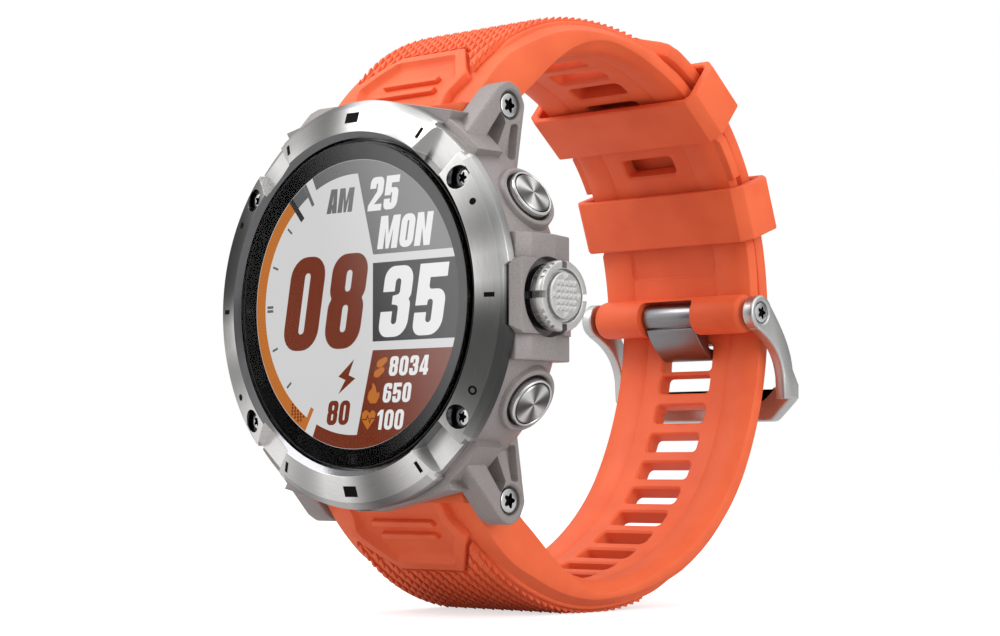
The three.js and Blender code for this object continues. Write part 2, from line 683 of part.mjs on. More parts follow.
const FIRST_SLOT_S = passesPin + TONGUE_SLOT_PLACE;
let holeStrap = joined(strapBand(holePath, holePath.length, TAPER_LENGTH, 52), strapRoot(-1));
holeStrap = cut(
  holeStrap,
  solidOf(rodX(BAR_BORE_R, -CLEAR, CLEAR, BAR_DEPTH, -BAR_Z)),
  solidOf(box(-CLEAR, CLEAR, 4, BAR_DEPTH, -BAR_Z - BAR_BORE_R, -BAR_Z + BAR_BORE_R)),
  slotOnPath(holePath, FIRST_SLOT_S + TONGUE_SLOT_EXTRA / 2, SLOT_LENGTH + TONGUE_SLOT_EXTRA)
);
for (let i = -SLOTS_BEFORE; i <= SLOTS_AFTER; i += 1) {
  if (i !== 0) holeStrap = cut(holeStrap, slotOnPath(holePath, FIRST_SLOT_S + i * SLOT_PITCH));
}
addPiece('hole_strap', holeStrap, silicone);

// A keeper: a flat loop with cut corners that wraps both straps.
function keeper(s) {
  const outline = (halfWidth, halfHeight, chamfer) => [
    [halfWidth - chamfer, -halfHeight],
    [halfWidth, -halfHeight + chamfer],
    [halfWidth, halfHeight - chamfer],
    [halfWidth - chamfer, halfHeight],
    [-halfWidth + chamfer, halfHeight],
    [-halfWidth, halfHeight - chamfer],
    [-halfWidth, -halfHeight + chamfer],
    [-halfWidth + chamfer, -halfHeight],
  ];
  const loop = shapeOf(outline(KEEPER_HALF_WIDTH, KEEPER_HALF_HEIGHT, KEEPER_CHAMFER));
  const opening = outline(
    KEEPER_HALF_WIDTH - KEEPER_SIDE_WALL,
    KEEPER_HALF_HEIGHT - KEEPER_WALL,
    KEEPER_OPENING_CHAMFER
  );
  loop.holes.push(new THREE.Path(opening.map(([a, b]) => new THREE.Vector2(a, b))));
  const { heading } = bucklePath.at(s);
  const [y, z] = beside(bucklePath, s, STACK_GAP / 2 - KEEPER_SAG);
  const band = new THREE.ExtrudeGeometry(loop, { depth: KEEPER_LENGTH, bevelEnabled: false });
  return band.translate(0, 0, -KEEPER_LENGTH / 2).rotateX(-Math.PI / 2 + heading).translate(0, y, z);
}
addPiece('free_keeper', solidOf(keeper(FREE_KEEPER_S)), silicone);
addPiece('fixed_keeper', solidOf(keeper(FIXED_KEEPER_S)), silicone);

// ---------------------------------------------------------------- buckle
addPiece('buckle_pin', solidOf(rodX(PIN_R, -14.2, 14.2, PIN_DEPTH, PIN_Z)), polishedSteel);
for (const [hand, sx] of [['right', 1], ['left', -1]]) {
  const screw = joined(
    solidOf(rodX(BUCKLE_SCREW_R, 14.85, 15.35, PIN_DEPTH, PIN_Z)),
    solidOf(rodX(0.75, 14.3, 14.9, PIN_DEPTH, PIN_Z))
  );
  addPiece(`buckle_screw_${hand}`, sx > 0 ? screw : screw.mirror([1, 0, 0]), polishedSteel);
}

// One arm of the frame: a boss round the pin and an S-shaped leg down to the crossbar.
function buckleArm() {
  const arm = new THREE.Shape();
  arm.moveTo(PIN_DEPTH + 1.2, PIN_Z + 2.1);
  arm.bezierCurveTo(67.6, 0.9, 70.9, -2.4, 71.4, -6.2);
  arm.lineTo(72.8, -8.4);
  arm.lineTo(72.8, -10.4);
  arm.lineTo(69.4, -10.4);
  arm.lineTo(69.2, -7.4);
  arm.bezierCurveTo(68.6, -4, 66.4, -2.2, 63.2, -0.9);
  return joined(
    solidOf(prismX(arm, ARM_INNER_X, ARM_OUTER_X)),
    solidOf(rodX(BUCKLE_BOSS_R, ARM_INNER_X, ARM_OUTER_X, PIN_DEPTH, PIN_Z))
  );
}
const arm = cut(
  buckleArm(),
  solidOf(rodX(PIN_BORE_R, 12, 17, PIN_DEPTH, PIN_Z)),
  solidOf(rodX(BUCKLE_SCREW_R + 0.15, 14.75, 17, PIN_DEPTH, PIN_Z))
);
const crossbar = solidOf(prismY([
  [-ARM_OUTER_X, -8.6],
  [-ARM_OUTER_X, -10.4],
  [-12, -13.5],
  [12, -13.5],
  [ARM_OUTER_X, -10.4],
  [ARM_OUTER_X, -8.6],
  [12.4, -8.6],
  [10.6, -10.2],
  [-10.6, -10.2],
  [-12.4, -8.6],
], 70.7, 72.8));
addPiece('buckle_frame', joined(crossbar, arm, arm.mirror([1, 0, 0])), titanium);

// The tongue: an eye round the pin and a curved blade that ends in the strap's slot.
const blade = new THREE.Shape();
blade.moveTo(PIN_DEPTH + 1.8, PIN_Z - 0.3);
blade.bezierCurveTo(66.5, -0.8, 66, -2.4, 66.9, -3.1);
blade.lineTo(69.3, -3.4);
blade.lineTo(69.1, -4.1);
blade.lineTo(68.3, -4.75);
blade.bezierCurveTo(67.4, -5, 65.1, -4, 62.9, -0.4);
const tongue = cut(
  joined(
    solidOf(rodX(TONGUE_EYE_R, -TONGUE_HALF_WIDTH, TONGUE_HALF_WIDTH, PIN_DEPTH, PIN_Z)),
    solidOf(prismX(blade, -TONGUE_HALF_WIDTH, TONGUE_HALF_WIDTH))
  ),
  solidOf(rodX(PIN_BORE_R, -10, 10, PIN_DEPTH, PIN_Z))
);
addPiece('buckle_tongue', tongue, darkSteel);

watch.position.y = -LENS_FRONT;

export default watch;
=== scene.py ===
from math import acos, atan2, cos, degrees, hypot, pi, radians, sin, sqrt, tan

import bmesh
import bpy
from mathutils import Matrix, Vector


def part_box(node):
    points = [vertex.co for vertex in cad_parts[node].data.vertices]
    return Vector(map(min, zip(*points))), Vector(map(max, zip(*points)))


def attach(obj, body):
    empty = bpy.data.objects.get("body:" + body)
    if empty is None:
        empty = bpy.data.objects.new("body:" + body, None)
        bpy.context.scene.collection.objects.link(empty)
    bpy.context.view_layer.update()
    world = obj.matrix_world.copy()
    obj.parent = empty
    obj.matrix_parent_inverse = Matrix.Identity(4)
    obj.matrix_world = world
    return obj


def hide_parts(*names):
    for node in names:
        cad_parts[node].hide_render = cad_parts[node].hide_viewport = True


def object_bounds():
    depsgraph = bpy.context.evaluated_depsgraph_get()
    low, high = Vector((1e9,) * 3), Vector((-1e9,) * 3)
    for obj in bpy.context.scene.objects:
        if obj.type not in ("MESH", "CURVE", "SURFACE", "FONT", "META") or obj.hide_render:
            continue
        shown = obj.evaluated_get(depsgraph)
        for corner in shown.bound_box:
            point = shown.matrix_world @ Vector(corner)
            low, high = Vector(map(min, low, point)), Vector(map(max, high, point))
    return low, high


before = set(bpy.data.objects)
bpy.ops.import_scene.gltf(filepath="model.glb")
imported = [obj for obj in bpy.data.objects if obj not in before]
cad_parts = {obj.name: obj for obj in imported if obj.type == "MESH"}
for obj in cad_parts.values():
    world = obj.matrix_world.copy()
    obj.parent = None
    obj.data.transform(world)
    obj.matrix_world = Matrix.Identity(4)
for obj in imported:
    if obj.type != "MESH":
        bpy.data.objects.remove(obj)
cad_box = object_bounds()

# The watch is drawn in millimetres. X points to the crown, depth runs back from the bezel's
# marked face (along +Y) and Z points to 12 o'clock. PLACE takes that drawing to the frame.
MM = 0.001
LENS_FRONT = -0.3
FACE_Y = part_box("lens")[0].y / MM - LENS_FRONT
PLACE = Matrix.Scale(MM, 4) @ Matrix.Translation((0, FACE_Y, 0))

# How many sides a circle gets, by its size.
ROUND = 192
MEDIUM = 96
SMALL = 48

SIDES = (("upper", 1), ("lower", -1))
HANDS = (("right", 1), ("left", -1))
CORNERS = tuple((sx, sz) for sx in (1, -1) for sz in (1, -1))
SQUARE = ((-1, -1), (1, -1), (1, 1), (-1, 1))
ACROSS = Vector((1, 0, 0))
UPWARD = Vector((0, 0, 1))


# ---------------- outlines
def arc(radius, start, end, centre=(0, 0), step=3.0):
    """Points on a circle between two bearings in degrees."""
    count = max(2, round(abs(end - start) / step))
    bearings = [radians(start + (end - start) * i / count) for i in range(count + 1)]
    return [(centre[0] + radius * cos(b), centre[1] + radius * sin(b)) for b in bearings]


def circle(radius, centre=(0, 0), segments=SMALL):
    return arc(radius, 0, 360 - 360 / segments, centre, 360 / segments)


def rounded(corners, radius=0.0, step=18.0):
    """A closed outline whose corners are filleted. A corner may carry its own radius."""
    points = []
    count = len(corners)
    for i, corner in enumerate(corners):
        here = Vector(corner[:2])
        want = corner[2] if len(corner) > 2 else radius
        before = Vector(corners[i - 1][:2]) - here
        after = Vector(corners[(i + 1) % count][:2]) - here
        half = before.angle(after, pi) / 2
        reach = min(want / tan(half) if half > 1e-3 else 0, before.length / 2, after.length / 2)
        if reach < 1e-4 or half > pi / 2 - 0.02:
            points.append(tuple(here))
            continue
        r = reach * tan(half)
        middle = here + (before.normalized() + after.normalized()).normalized() * (r / sin(half))
        first = here + before.normalized() * reach - middle
        last = here + after.normalized() * reach - middle
        turn = first.angle_signed(last)
        steps = max(1, round(abs(degrees(turn)) / step))
        for k in range(steps + 1):
            spun = Matrix.Rotation(-turn * k / steps, 2) @ first
            points.append(tuple(middle + spun))
    return points


def area_of(outline):
    pairs = zip(outline, outline[1:] + outline[:1])
    return sum(a[0] * b[1] - b[0] * a[1] for a, b in pairs) / 2


def inset(outline, distance):
    """The outline moved inwards by a small distance."""
    if abs(distance) < 1e-6:
        return list(outline)
    side = 1 if area_of(outline) > 0 else -1
    moved = []
    count = len(outline)
    for i in range(count):
        here = Vector(outline[i])
        one = (here - Vector(outline[i - 1])).normalized()
        two = (Vector(outline[(i + 1) % count]) - here).normalized()
        n1 = Vector((-one.y, one.x)) * side
        n2 = Vector((-two.y, two.x)) * side
        moved.append(tuple(here + (n1 + n2) * (distance / max(0.3, 1 + n1.dot(n2)))))
    return moved


def rectangle(a0, a1, b0, b1, radius=0.0):
    return rounded([(a0, b0), (a1, b0), (a1, b1), (a0, b1)], radius)


def both_sides(half):
    """A closed outline from its right half: first coordinates are mirrored."""
    return half + [(-a, *rest) for a, *rest in reversed(half)]


# ---------------- solids
AXES = {
    "X": lambda u, v, t: (t, u, v),
    "Y": lambda u, v, t: (u, t, v),
    "Z": lambda u, v, t: (u, v, t),
}


def raw_object(name, vertices, faces):
    mesh = bpy.data.meshes.new(name)
    mesh.from_pydata(vertices, [], faces)
    piece = bpy.data.objects.new(name, mesh)
    bpy.context.scene.collection.objects.link(piece)
    return piece


def new_object(name, vertices, faces):
    """An object whose doubled points are merged and whose faces all look outwards."""
    piece = raw_object(name, vertices, faces)
    bm = bmesh.new()
    bm.from_mesh(piece.data)
    bmesh.ops.remove_doubles(bm, verts=bm.verts, dist=1e-5)
    bmesh.ops.recalc_face_normals(bm, faces=bm.faces)
    bm.to_mesh(piece.data)
    bm.free()
    return piece


def loft(rings, closed_ends=True):
    """A solid through rings of points that all have the same count."""
    size = len(rings[0])
    vertices = [point for ring in rings for point in ring]
    faces = []
    for i in range(len(rings) - 1):
        for j in range(size):
            k = (j + 1) % size
            faces.append((i * size + j, i * size + k, (i + 1) * size + k, (i + 1) * size + j))
    if closed_ends:
        faces.append(tuple(range(size)))
        faces.append(tuple(range((len(rings) - 1) * size, len(rings) * size)))
    return new_object("solid", vertices, faces)


def prism(outline, low, high, along="Y", bevel=0.0, steps=3, flare=0.0):
    """An outline drawn across an axis and run along it, with rounded ends (bevel) or
    ends that open out (flare)."""
    place = AXES[along]
    layers = [(low, 0.0), (high, 0.0)]
    if bevel:
        turns = [radians(90 * i / steps) for i in range(steps + 1)]
        start = [(low + bevel * (1 - sin(a)), bevel * (1 - cos(a))) for a in reversed(turns)]
        end = [(high - bevel * (1 - sin(a)), bevel * (1 - cos(a))) for a in turns]
        layers = start + end
    if flare:
        layers = [(low, -flare), (low + flare, 0.0), (high - flare, 0.0), (high, -flare)]
    rings = [[place(u, v, t) for u, v in inset(outline, d)] for t, d in layers]
    return loft(rings)


def stepped(outline, levels):
    """A solid drawn across Z whose outline is inset by a given distance at each height."""
    return loft([[(x, y, h) for x, y in inset(outline, distance)] for h, distance in levels])


def lathe(corners, along="Y", centre=(0, 0), segments=ROUND, rounding=0.0):
    """A solid of revolution from a closed outline of (radius, place along the axis).
    A corner may carry the radius of its fillet."""
    place = AXES[along]
    turns = [2 * pi * i / segments for i in range(segments)]
    vertices = []
    rings = []
    for r, t in rounded(corners, rounding):
        spots = [0.0] if r < 1e-6 else turns
        rings.append(range(len(vertices), len(vertices) + len(spots)))
        vertices += [place(centre[0] + r * cos(a), centre[1] + r * sin(a), t) for a in spots]
    faces = []
    for ring, following in zip(rings, rings[1:] + rings[:1]):
        if len(ring) == 1 and len(following) == 1:
            continue
        for i in range(segments):
            j = (i + 1) % segments
            corners_of_face = [ring[i % len(ring)], ring[j % len(ring)]]
            corners_of_face += [following[j % len(following)], following[i % len(following)]]
            faces.append(tuple(dict.fromkeys(corners_of_face)))
    return new_object("solid", vertices, faces)


def rod(radius, low, high, along="X", centre=(0, 0), bevel=0.0, segments=SMALL):
    return prism(circle(radius, centre, segments), low, high, along, bevel)


def block(x0, x1, y0, y1, z0, z1, bevel=0.0):
    return prism(rectangle(x0, x1, z0, z1, bevel), y0, y1, "Y", bevel)


def moved(piece, matrix):
    piece.data.transform(matrix)
    if matrix.determinant() < 0:
        piece.data.flip_normals()
    return piece


def turned_about_dial(piece, angle):
    """Turns a piece from the X axis to a bearing on the dial, in degrees."""
    return moved(piece, Matrix.Rotation(radians(-angle), 4, "Y"))


def to_corner(piece, sx, sz=1):
    """Mirrors a piece drawn at the upper right to another corner of the watch."""
    if sx < 0:
        moved(piece, Matrix.Scale(-1, 4, ACROSS))
    if sz < 0:
        moved(piece, Matrix.Scale(-1, 4, UPWARD))
    return piece


def combine(piece, operation, tools):
    tools = list(tools)
    for tool in tools:
        modifier = piece.modifiers.new(operation, "BOOLEAN")
        modifier.operation = operation
        modifier.solver = "MANIFOLD"
        modifier.object = tool
    graph = bpy.context.evaluated_depsgraph_get()
    mesh = bpy.data.meshes.new_from_object(piece.evaluated_get(graph))
    piece.modifiers.clear()
    piece.data = mesh
    for tool in tools:
        bpy.data.objects.remove(tool)
    if not len(mesh.polygons):
        raise ValueError(f"{operation} left nothing")
    return piece


def cut(piece, *tools):
    return combine(piece, "DIFFERENCE", tools)


def join(piece, *tools):
    return combine(piece, "UNION", tools)


def gather(pieces):
    """Several separate solids as one object."""
    pieces = list(pieces)
    vertices = []
    faces = []
    for piece in pieces:
        base = len(vertices)
        vertices += [tuple(v.co) for v in piece.data.vertices]
        faces += [tuple(base + i for i in p.vertices) for p in piece.data.polygons]
        bpy.data.objects.remove(piece)
    return new_object("solid", vertices, faces)


def finish(piece, name, material, body, stands_for=(), smooth=35, local=None):
    """Names a drawn solid, puts it in the frame and lets it ride on its body."""
    bm = bmesh.new()
    bm.from_mesh(piece.data)
    bmesh.ops.remove_doubles(bm, verts=bm.verts, dist=2e-4)
    bmesh.ops.dissolve_degenerate(bm, edges=bm.edges, dist=2e-4)
    bm.to_mesh(piece.data)
    bm.free()
    piece.name = name
    piece.data.name = name
    if local is None:
        piece.data.transform(PLACE)
    else:
        piece.data.transform(Matrix.Scale(MM, 4))
        rotation = local.to_3x3().to_4x4()
        piece.matrix_world = Matrix.Translation(PLACE @ local.translation) @ rotation
    piece.data.shade_smooth()
    piece.data.set_sharp_from_angle(angle=radians(smooth))
    piece.data.materials.clear()
    piece.data.materials.append(material)
    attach(piece, body)
    if stands_for:
        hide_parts(*stands_for)
    return piece


def paint(piece, material, chosen):
    """Gives a finished piece's faces a second material where chosen(x, depth, z) holds."""
    piece.data.materials.append(material)
    index = len(piece.data.materials) - 1
    back = PLACE.inverted()
    for face in piece.data.polygons:
        if chosen(*(back @ face.center)):
            face.material_index = index


# ---------------- materials
def linear(code):
    """A six-figure sRGB colour as linear red, green, blue and alpha."""
    channels = [int(code[i:i + 2], 16) / 255 for i in (0, 2, 4)]
    return tuple(c / 12.92 if c < 0.04045 else ((c + 0.055) / 1.055) ** 2.4 for c in channels) + (1,)


class Look:
    """A node tree being wired, with short calls for the nodes that repeat."""

    def __init__(self, name, tree=None):
        if tree is None:
            self.material = bpy.data.materials.new(name)
            self.material.use_nodes = True
            tree = self.material.node_tree
            self.shader = tree.nodes["Principled BSDF"]
        self.tree = tree
        self.place = None

    def add(self, kind, inputs=None, **settings):
        node = self.tree.nodes.new("ShaderNode" + kind)
        for key, value in settings.items():
            setattr(node, key, value)
        for key, value in (inputs or {}).items():
            self.put(node, key, value)
        return node

    def put(self, node, key, value):
        if isinstance(value, bpy.types.NodeSocket):
            self.tree.links.new(value, node.inputs[key])
        else:
            node.inputs[key].default_value = value

    def set(self, **inputs):
        for key, value in inputs.items():
            self.put(self.shader, key.replace("_", " "), value)

    def show(self, node):
        """Makes a node's shader the material's surface."""
        self.put(self.tree.nodes["Material Output"], 0, node.outputs[0])

    def math(self, operation, a, b=0.0, c=0.0):
        return self.add("Math", {0: a, 1: b, 2: c}, operation=operation).outputs[0]

    def times(self, a, b):
        return self.math("MULTIPLY", a, b)

    def plus(self, a, b):
        return self.math("ADD", a, b)

    def remap(self, value, a, b, low=0.0, high=1.0):
        inputs = {"Value": value, "From Min": a, "From Max": b, "To Min": low, "To Max": high}
        return self.add("MapRange", inputs, interpolation_type="SMOOTHSTEP").outputs[0]

    def coordinates(self):
        if self.place is None:
            self.place = self.add("TexCoord").outputs["Object"]
        return self.place

    def split(self, vector):
        return self.add("SeparateXYZ", {0: vector}).outputs

    def vector(self, x, y, z):
        return self.add("CombineXYZ", {0: x, 1: y, 2: z}).outputs[0]

    def noise(self, scale, detail=3.0, vector=None):
        inputs = {"Vector": vector or self.coordinates(), "Scale": scale, "Detail": detail}
        return self.add("TexNoise", inputs).outputs[0]

    def ramp(self, value, stops):
        node = self.add("ValToRGB", {0: value})
        elements = node.color_ramp.elements
        for element, (position, colour) in zip((elements[0], elements[-1]), (stops[0], stops[-1])):
            element.position = position
            element.color = colour
        for position, colour in stops[1:-1]:
            elements.new(position).color = colour
        return node.outputs[0]

    def mix(self, factor, a, b, blend="MIX"):
        node = self.add("Mix", data_type="RGBA", blend_type=blend)
        self.put(node, 0, factor)
        self.put(node, 6, a)
        self.put(node, 7, b)
        return node.outputs[2]

    def bump(self, height, distance, soft_edge=0.0):
        inputs = {"Height": height, "Distance": distance * MM, "Strength": 1.0}
        if soft_edge:
            inputs["Normal"] = self.add("Bevel", {"Radius": soft_edge * MM}, samples=4).outputs[0]
        return self.add("Bump", inputs).outputs[0]


def grey(value):
    return (value, value, value, 1)


# Noise scales that draw fine lines: across them, round an axis (to a radian) and along them.
LINES_ACROSS = 9000.0
LINES_ROUND = 9.0
LINES_ALONG = 250.0
GRAIN_SCALE = 5200.0

# Painted glints, highlight sectors in a round-brushed metal's base colour: in opposite pairs,
# each with its bearing in degrees and its sharpness, over a floor of painted shade.
PAINTED_GLINT_FLOOR = 0.12
BEZEL_PAINTED_GLINTS = ((8, 90), (45, 14), (84, 60), (124, 30))
DISC_PAINTED_GLINTS = ((64, 16), (145, 12))


def brushed(name, colour, roughness, lines="grain", soft_edge=0.06, painted_glints=None, anisotropy=0.8):
    """A metal whose fine lines run round the dial (ring), round its own axis (disc), along
    X (long) or nowhere in particular (grain)."""
    look = Look(name)
    x, y, z = look.split(look.coordinates())
    stretched = look.coordinates()
    scale = 1.0
    if lines in ("ring", "disc"):
        other, axis = (z, "Y") if lines == "ring" else (y, "Z")
        radius = look.math("SQRT", look.plus(look.math("POWER", x, 2), look.math("POWER", other, 2)))
        bearing = look.math("ARCTAN2", other, x)
        stretched = look.vector(look.times(radius, LINES_ACROSS), look.times(bearing, LINES_ROUND), 0.0)
        tangent = look.add("Tangent", direction_type="RADIAL", axis=axis).outputs[0]
        look.set(Anisotropic=anisotropy, Anisotropic_Rotation=0.25, Tangent=tangent)
    elif lines == "long":
        across = [look.times(side, LINES_ACROSS) for side in (y, z)]
        stretched = look.vector(look.times(x, LINES_ALONG), *across)
    else:
        scale = GRAIN_SCALE
    fine = look.noise(scale, 4.0, stretched)
    shade = look.remap(look.noise(240.0, 2.0), 0.3, 0.7, 0.92, 1.05)
    base = look.mix(1.0, linear(colour), look.ramp(fine, [(0.3, grey(0.86)), (0.7, grey(1.0))]), "MULTIPLY")
    # Painted highlights: glint sectors by bearing, multiplied into the base colour.
    if painted_glints:
        base = look.mix(1.0, base, painted_glint_sectors(look, bearing, painted_glints), "MULTIPLY")
    look.set(Base_Color=base, Metallic=1.0, Roughness=look.times(shade, roughness))
    look.set(Normal=look.bump(fine, 0.004, soft_edge))
    return look.material


def painted_glint_sectors(look, bearing, painted_glints):
    """Painted highlight and shade sectors round an axis, in opposite pairs, that stand in for the glints of
    circular brushing.
    """
    total = PAINTED_GLINT_FLOOR
    for angle, sharpness in painted_glints:
        swing = look.math("COSINE", look.math("SUBTRACT", bearing, radians(angle)))
        glint = look.math("POWER", look.math("ABSOLUTE", swing), sharpness)
        total = look.plus(total, glint)
    return look.ramp(total, [(0.0, grey(0.0)), (1.0, grey(1.0))])


def polished(name, colour, roughness=0.12, soft_edge=0.06):
    """A smooth bright surface with a faint smear."""
    look = Look(name)
    smear = look.noise(900.0, 3.0)
    look.set(Base_Color=linear(colour), Metallic=1.0)
    look.set(Roughness=look.remap(smear, 0.2, 0.8, roughness * 0.7, roughness * 1.4))
    look.set(Normal=look.bump(look.noise(3000.0), 0.001, soft_edge))
    return look.material


def moulded(name, colour, roughness, grain, soft_edge=0.15, speckle=0.1, metallic=0.0, shine=0.5):
    """A moulded plastic with a fine spark-eroded grain and a faint speckle."""
    look = Look(name)
    fine = look.noise(6500.0, 4.0)
    speck = look.add("TexVoronoi", {"Vector": look.coordinates(), "Scale": 3900.0}).outputs[0]
    dark = tuple(c * (1 - speckle * 2) for c in linear(colour)[:3]) + (1,)
    light = tuple(min(1, c * (1 + speckle)) for c in linear(colour)[:3]) + (1,)
    level = look.plus(look.times(fine, 0.7), look.times(speck, 0.3))
    look.set(Base_Color=look.ramp(level, [(0.25, dark), (0.75, light)]))
    look.set(Roughness=look.remap(fine, 0.3, 0.7, roughness * 0.9, roughness * 1.12))
    look.set(Normal=look.bump(fine, grain, soft_edge), Metallic=metallic, Specular_IOR_Level=shine)
    return look.material


def rubber(name, colour, second_tone, soft_edge=0.12):
    """Silicone rubber: a soft sheen, a little light under the skin and a satin grain."""
    look = Look(name)
    fine = look.noise(7000.0, 3.0)
    cloud = look.noise(160.0, 2.0)
    tone = look.remap(look.plus(look.times(cloud, 0.8), look.times(fine, 0.2)), 0.3, 0.7)
    look.set(Base_Color=look.mix(tone, linear(second_tone), linear(colour)))
    look.set(Roughness=look.remap(fine, 0.3, 0.7, 0.46, 0.56), Specular_IOR_Level=0.25)
    look.set(Subsurface_Weight=0.06, Subsurface_Scale=0.6 * MM, Subsurface_Radius=(1.0, 0.35, 0.15))
    look.set(Sheen_Weight=0.05, Sheen_Roughness=0.5, Sheen_Tint=linear("ffb090"))
    look.set(Normal=look.bump(fine, 0.006, soft_edge))
    return look.material


def cover_glass():
    """Clear glass over the display, with a painted reflection: a faint glowing veil that grows towards the
    crown side.
    """
    look = Look("cover_glass")
    x, _, z = look.split(look.coordinates())
    clear = look.add("BsdfTransparent", {0: grey(0.97)}).outputs[0]
    gloss = look.add("BsdfGlossy", {0: grey(1.0), 1: 0.03}).outputs[0]
    slope = look.plus(x, look.times(z, 0.45))
    # Painted reflection: a glow that brightens the glass towards the crown side.
    painted_veil = look.add("Emission", {0: grey(1.0), 1: look.remap(slope, -4 * MM, 20 * MM, 0.0, 0.13)}).outputs[0]
    surface = look.add("NewGeometry").outputs
    outside = look.math("SUBTRACT", 1.0, surface["Backfacing"])
    smear = look.remap(look.noise(120.0), 0.3, 0.7, 0.75, 1.0)
    fresnel = look.add("Fresnel", {0: 1.45}).outputs[0]
    share = look.times(look.times(fresnel, outside), look.times(smear, 0.25))
    glass = look.add("MixShader", {0: share, 1: clear, 2: gloss}).outputs[0]
    facing_front = look.remap(look.times(look.split(surface["Normal"])[1], -1.0), 0.9, 0.99)
    bright = look.add("AddShader", {0: glass, 1: painted_veil}).outputs[0]
    veiled = look.add("MixShader", {0: look.times(outside, facing_front), 1: glass, 2: bright})
    look.show(veiled)
    return look.material


def ink(name, colour, glow, fade):
    """A colour shown by the display: its own light, over a very fine grid of cells. Towards
    the crown it may fade to a second colour."""
    look = Look(name)
    x, _, z = look.split(look.coordinates())
    waves = [look.math("SINE", look.times(side, 2 * pi / (CELL_SIZE * MM))) for side in (x, z)]
    level = look.remap(look.times(*waves), -1.0, 1.0, 0.97, 1.0)
    base = linear(colour)
    if fade:
        across = look.remap(look.plus(x, look.times(z, 0.5)), -2 * MM, 18 * MM)
        base = look.mix(across, base, linear(fade))
    tinted = look.mix(1.0, base, look.ramp(level, [(0.0, grey(0.0)), (1.0, grey(1.0))]), "MULTIPLY")
    look.show(look.add("Emission", {0: tinted, 1: glow}))
    return look.material


def laminate(name, colour, trace):
    """A circuit board: solder mask over a faint square pattern of copper tracks."""
    look = Look(name)
    inputs = {"Vector": look.coordinates(), "Scale": 420.0, "Mortar Size": 0.03}
    inputs |= {"Color1": linear(colour), "Color2": linear(colour), "Mortar": linear(trace)}
    pattern = look.add("TexBrick", inputs)
    look.set(Base_Color=pattern.outputs[0], Roughness=0.4)
    look.set(Normal=look.bump(pattern.outputs[1], 0.02))
    return look.material


LOOKS = {
    # The bezel's rings and the buttons' discs carry painted glint sectors in their base colour.
    "titanium": brushed("titanium", "e6e5e3", 0.3, "ring", 0.07, BEZEL_PAINTED_GLINTS),
    "satin": brushed("satin_titanium", "d0d0cf", 0.4, "grain", 0.1),
    "satin_ring": brushed("satin_ring", "c4c4c3", 0.42, "ring", 0.07, BEZEL_PAINTED_GLINTS, 0.5),
    "knurled": brushed("knurled_steel", "d6d5d3", 0.4, "grain", 0.05),
    "disc": brushed("turned_steel", "e8e7e5", 0.28, "disc", 0.04, DISC_PAINTED_GLINTS, 0.85),
    "polished_steel": polished("polished_steel", "d4d4d5"),
    "dark_steel": brushed("dark_steel", "8d8d90", 0.3, "long", 0.15),
    # Dark polish, also used as painted shade in the bezel's counterbores.
    "dark_polish_and_painted_shade": polished("dark_polish_and_painted_shade", "6a6a6c", 0.16),
    "case_finish": moulded("case_finish", "948d8b", 0.5, 0.012, metallic=0.25),
    "silicone": rubber("silicone", "ef6c40", "e6633a"),
    "black_rubber": moulded("black_rubber", "121212", 0.6, 0.02, speckle=0.2),
    "black_plastic": moulded("black_plastic", "242426", 0.5, 0.015, speckle=0.15),
    # Black for the bezel's inlays, also used as painted shade in the screws' recesses.
    "black_inlay_and_painted_shade": moulded("black_inlay_and_painted_shade", "050505", 0.7, 0.004, soft_edge=0.0, shine=0.08),
    "foil": brushed("foil", "b8b8b0", 0.4, "grain", 0.2),
    "circuit_board": laminate("circuit_board", "1f5a33", "4f8a5a"),
    "cover_glass": cover_glass(),
    "sensor_glass": polished("sensor_glass", "151619", 0.08, 0.2),
}


# ---------------- studio
# The camera's place, and the direction that runs from the watch back to it.
CAMERA_PLACE = Vector((205.01, -197.75, -20.13))
CAMERA_BACK = Vector((0.67185, -0.73787, -0.06448))
CAMERA_LENS = 83.85
SENSOR_WIDTH = 36
STUDIO_BASE = 0.16
PANEL_BEARING = (-0.67, -0.74, 0.06)
FLOOR_REACH = 3.0


def add_camera():
    data = bpy.data.cameras.new("camera")
    data.lens = CAMERA_LENS
    data.sensor_width = SENSOR_WIDTH
    data.clip_start = 1 * MM
    camera = bpy.data.objects.new("camera", data)
    bpy.context.scene.collection.objects.link(camera)
    camera.location = CAMERA_PLACE * MM
    camera.rotation_euler = (-CAMERA_BACK).to_track_quat("-Z", "Y").to_euler()
    bpy.context.scene.camera = camera


def add_light(name, place, target, size, power, spread=180):
    data = bpy.data.lights.new(name, "AREA")
    data.shape = "RECTANGLE"
    data.size, data.size_y = (side * MM for side in size)
    data.energy = power
    data.spread = radians(spread)
    light = bpy.data.objects.new(name, data)
    bpy.context.scene.collection.objects.link(light)
    light.location = Vector(place) * MM
    light.rotation_euler = (Vector(target) - Vector(place)).to_track_quat("-Z", "Y").to_euler()
    light.visible_camera = False
    return light


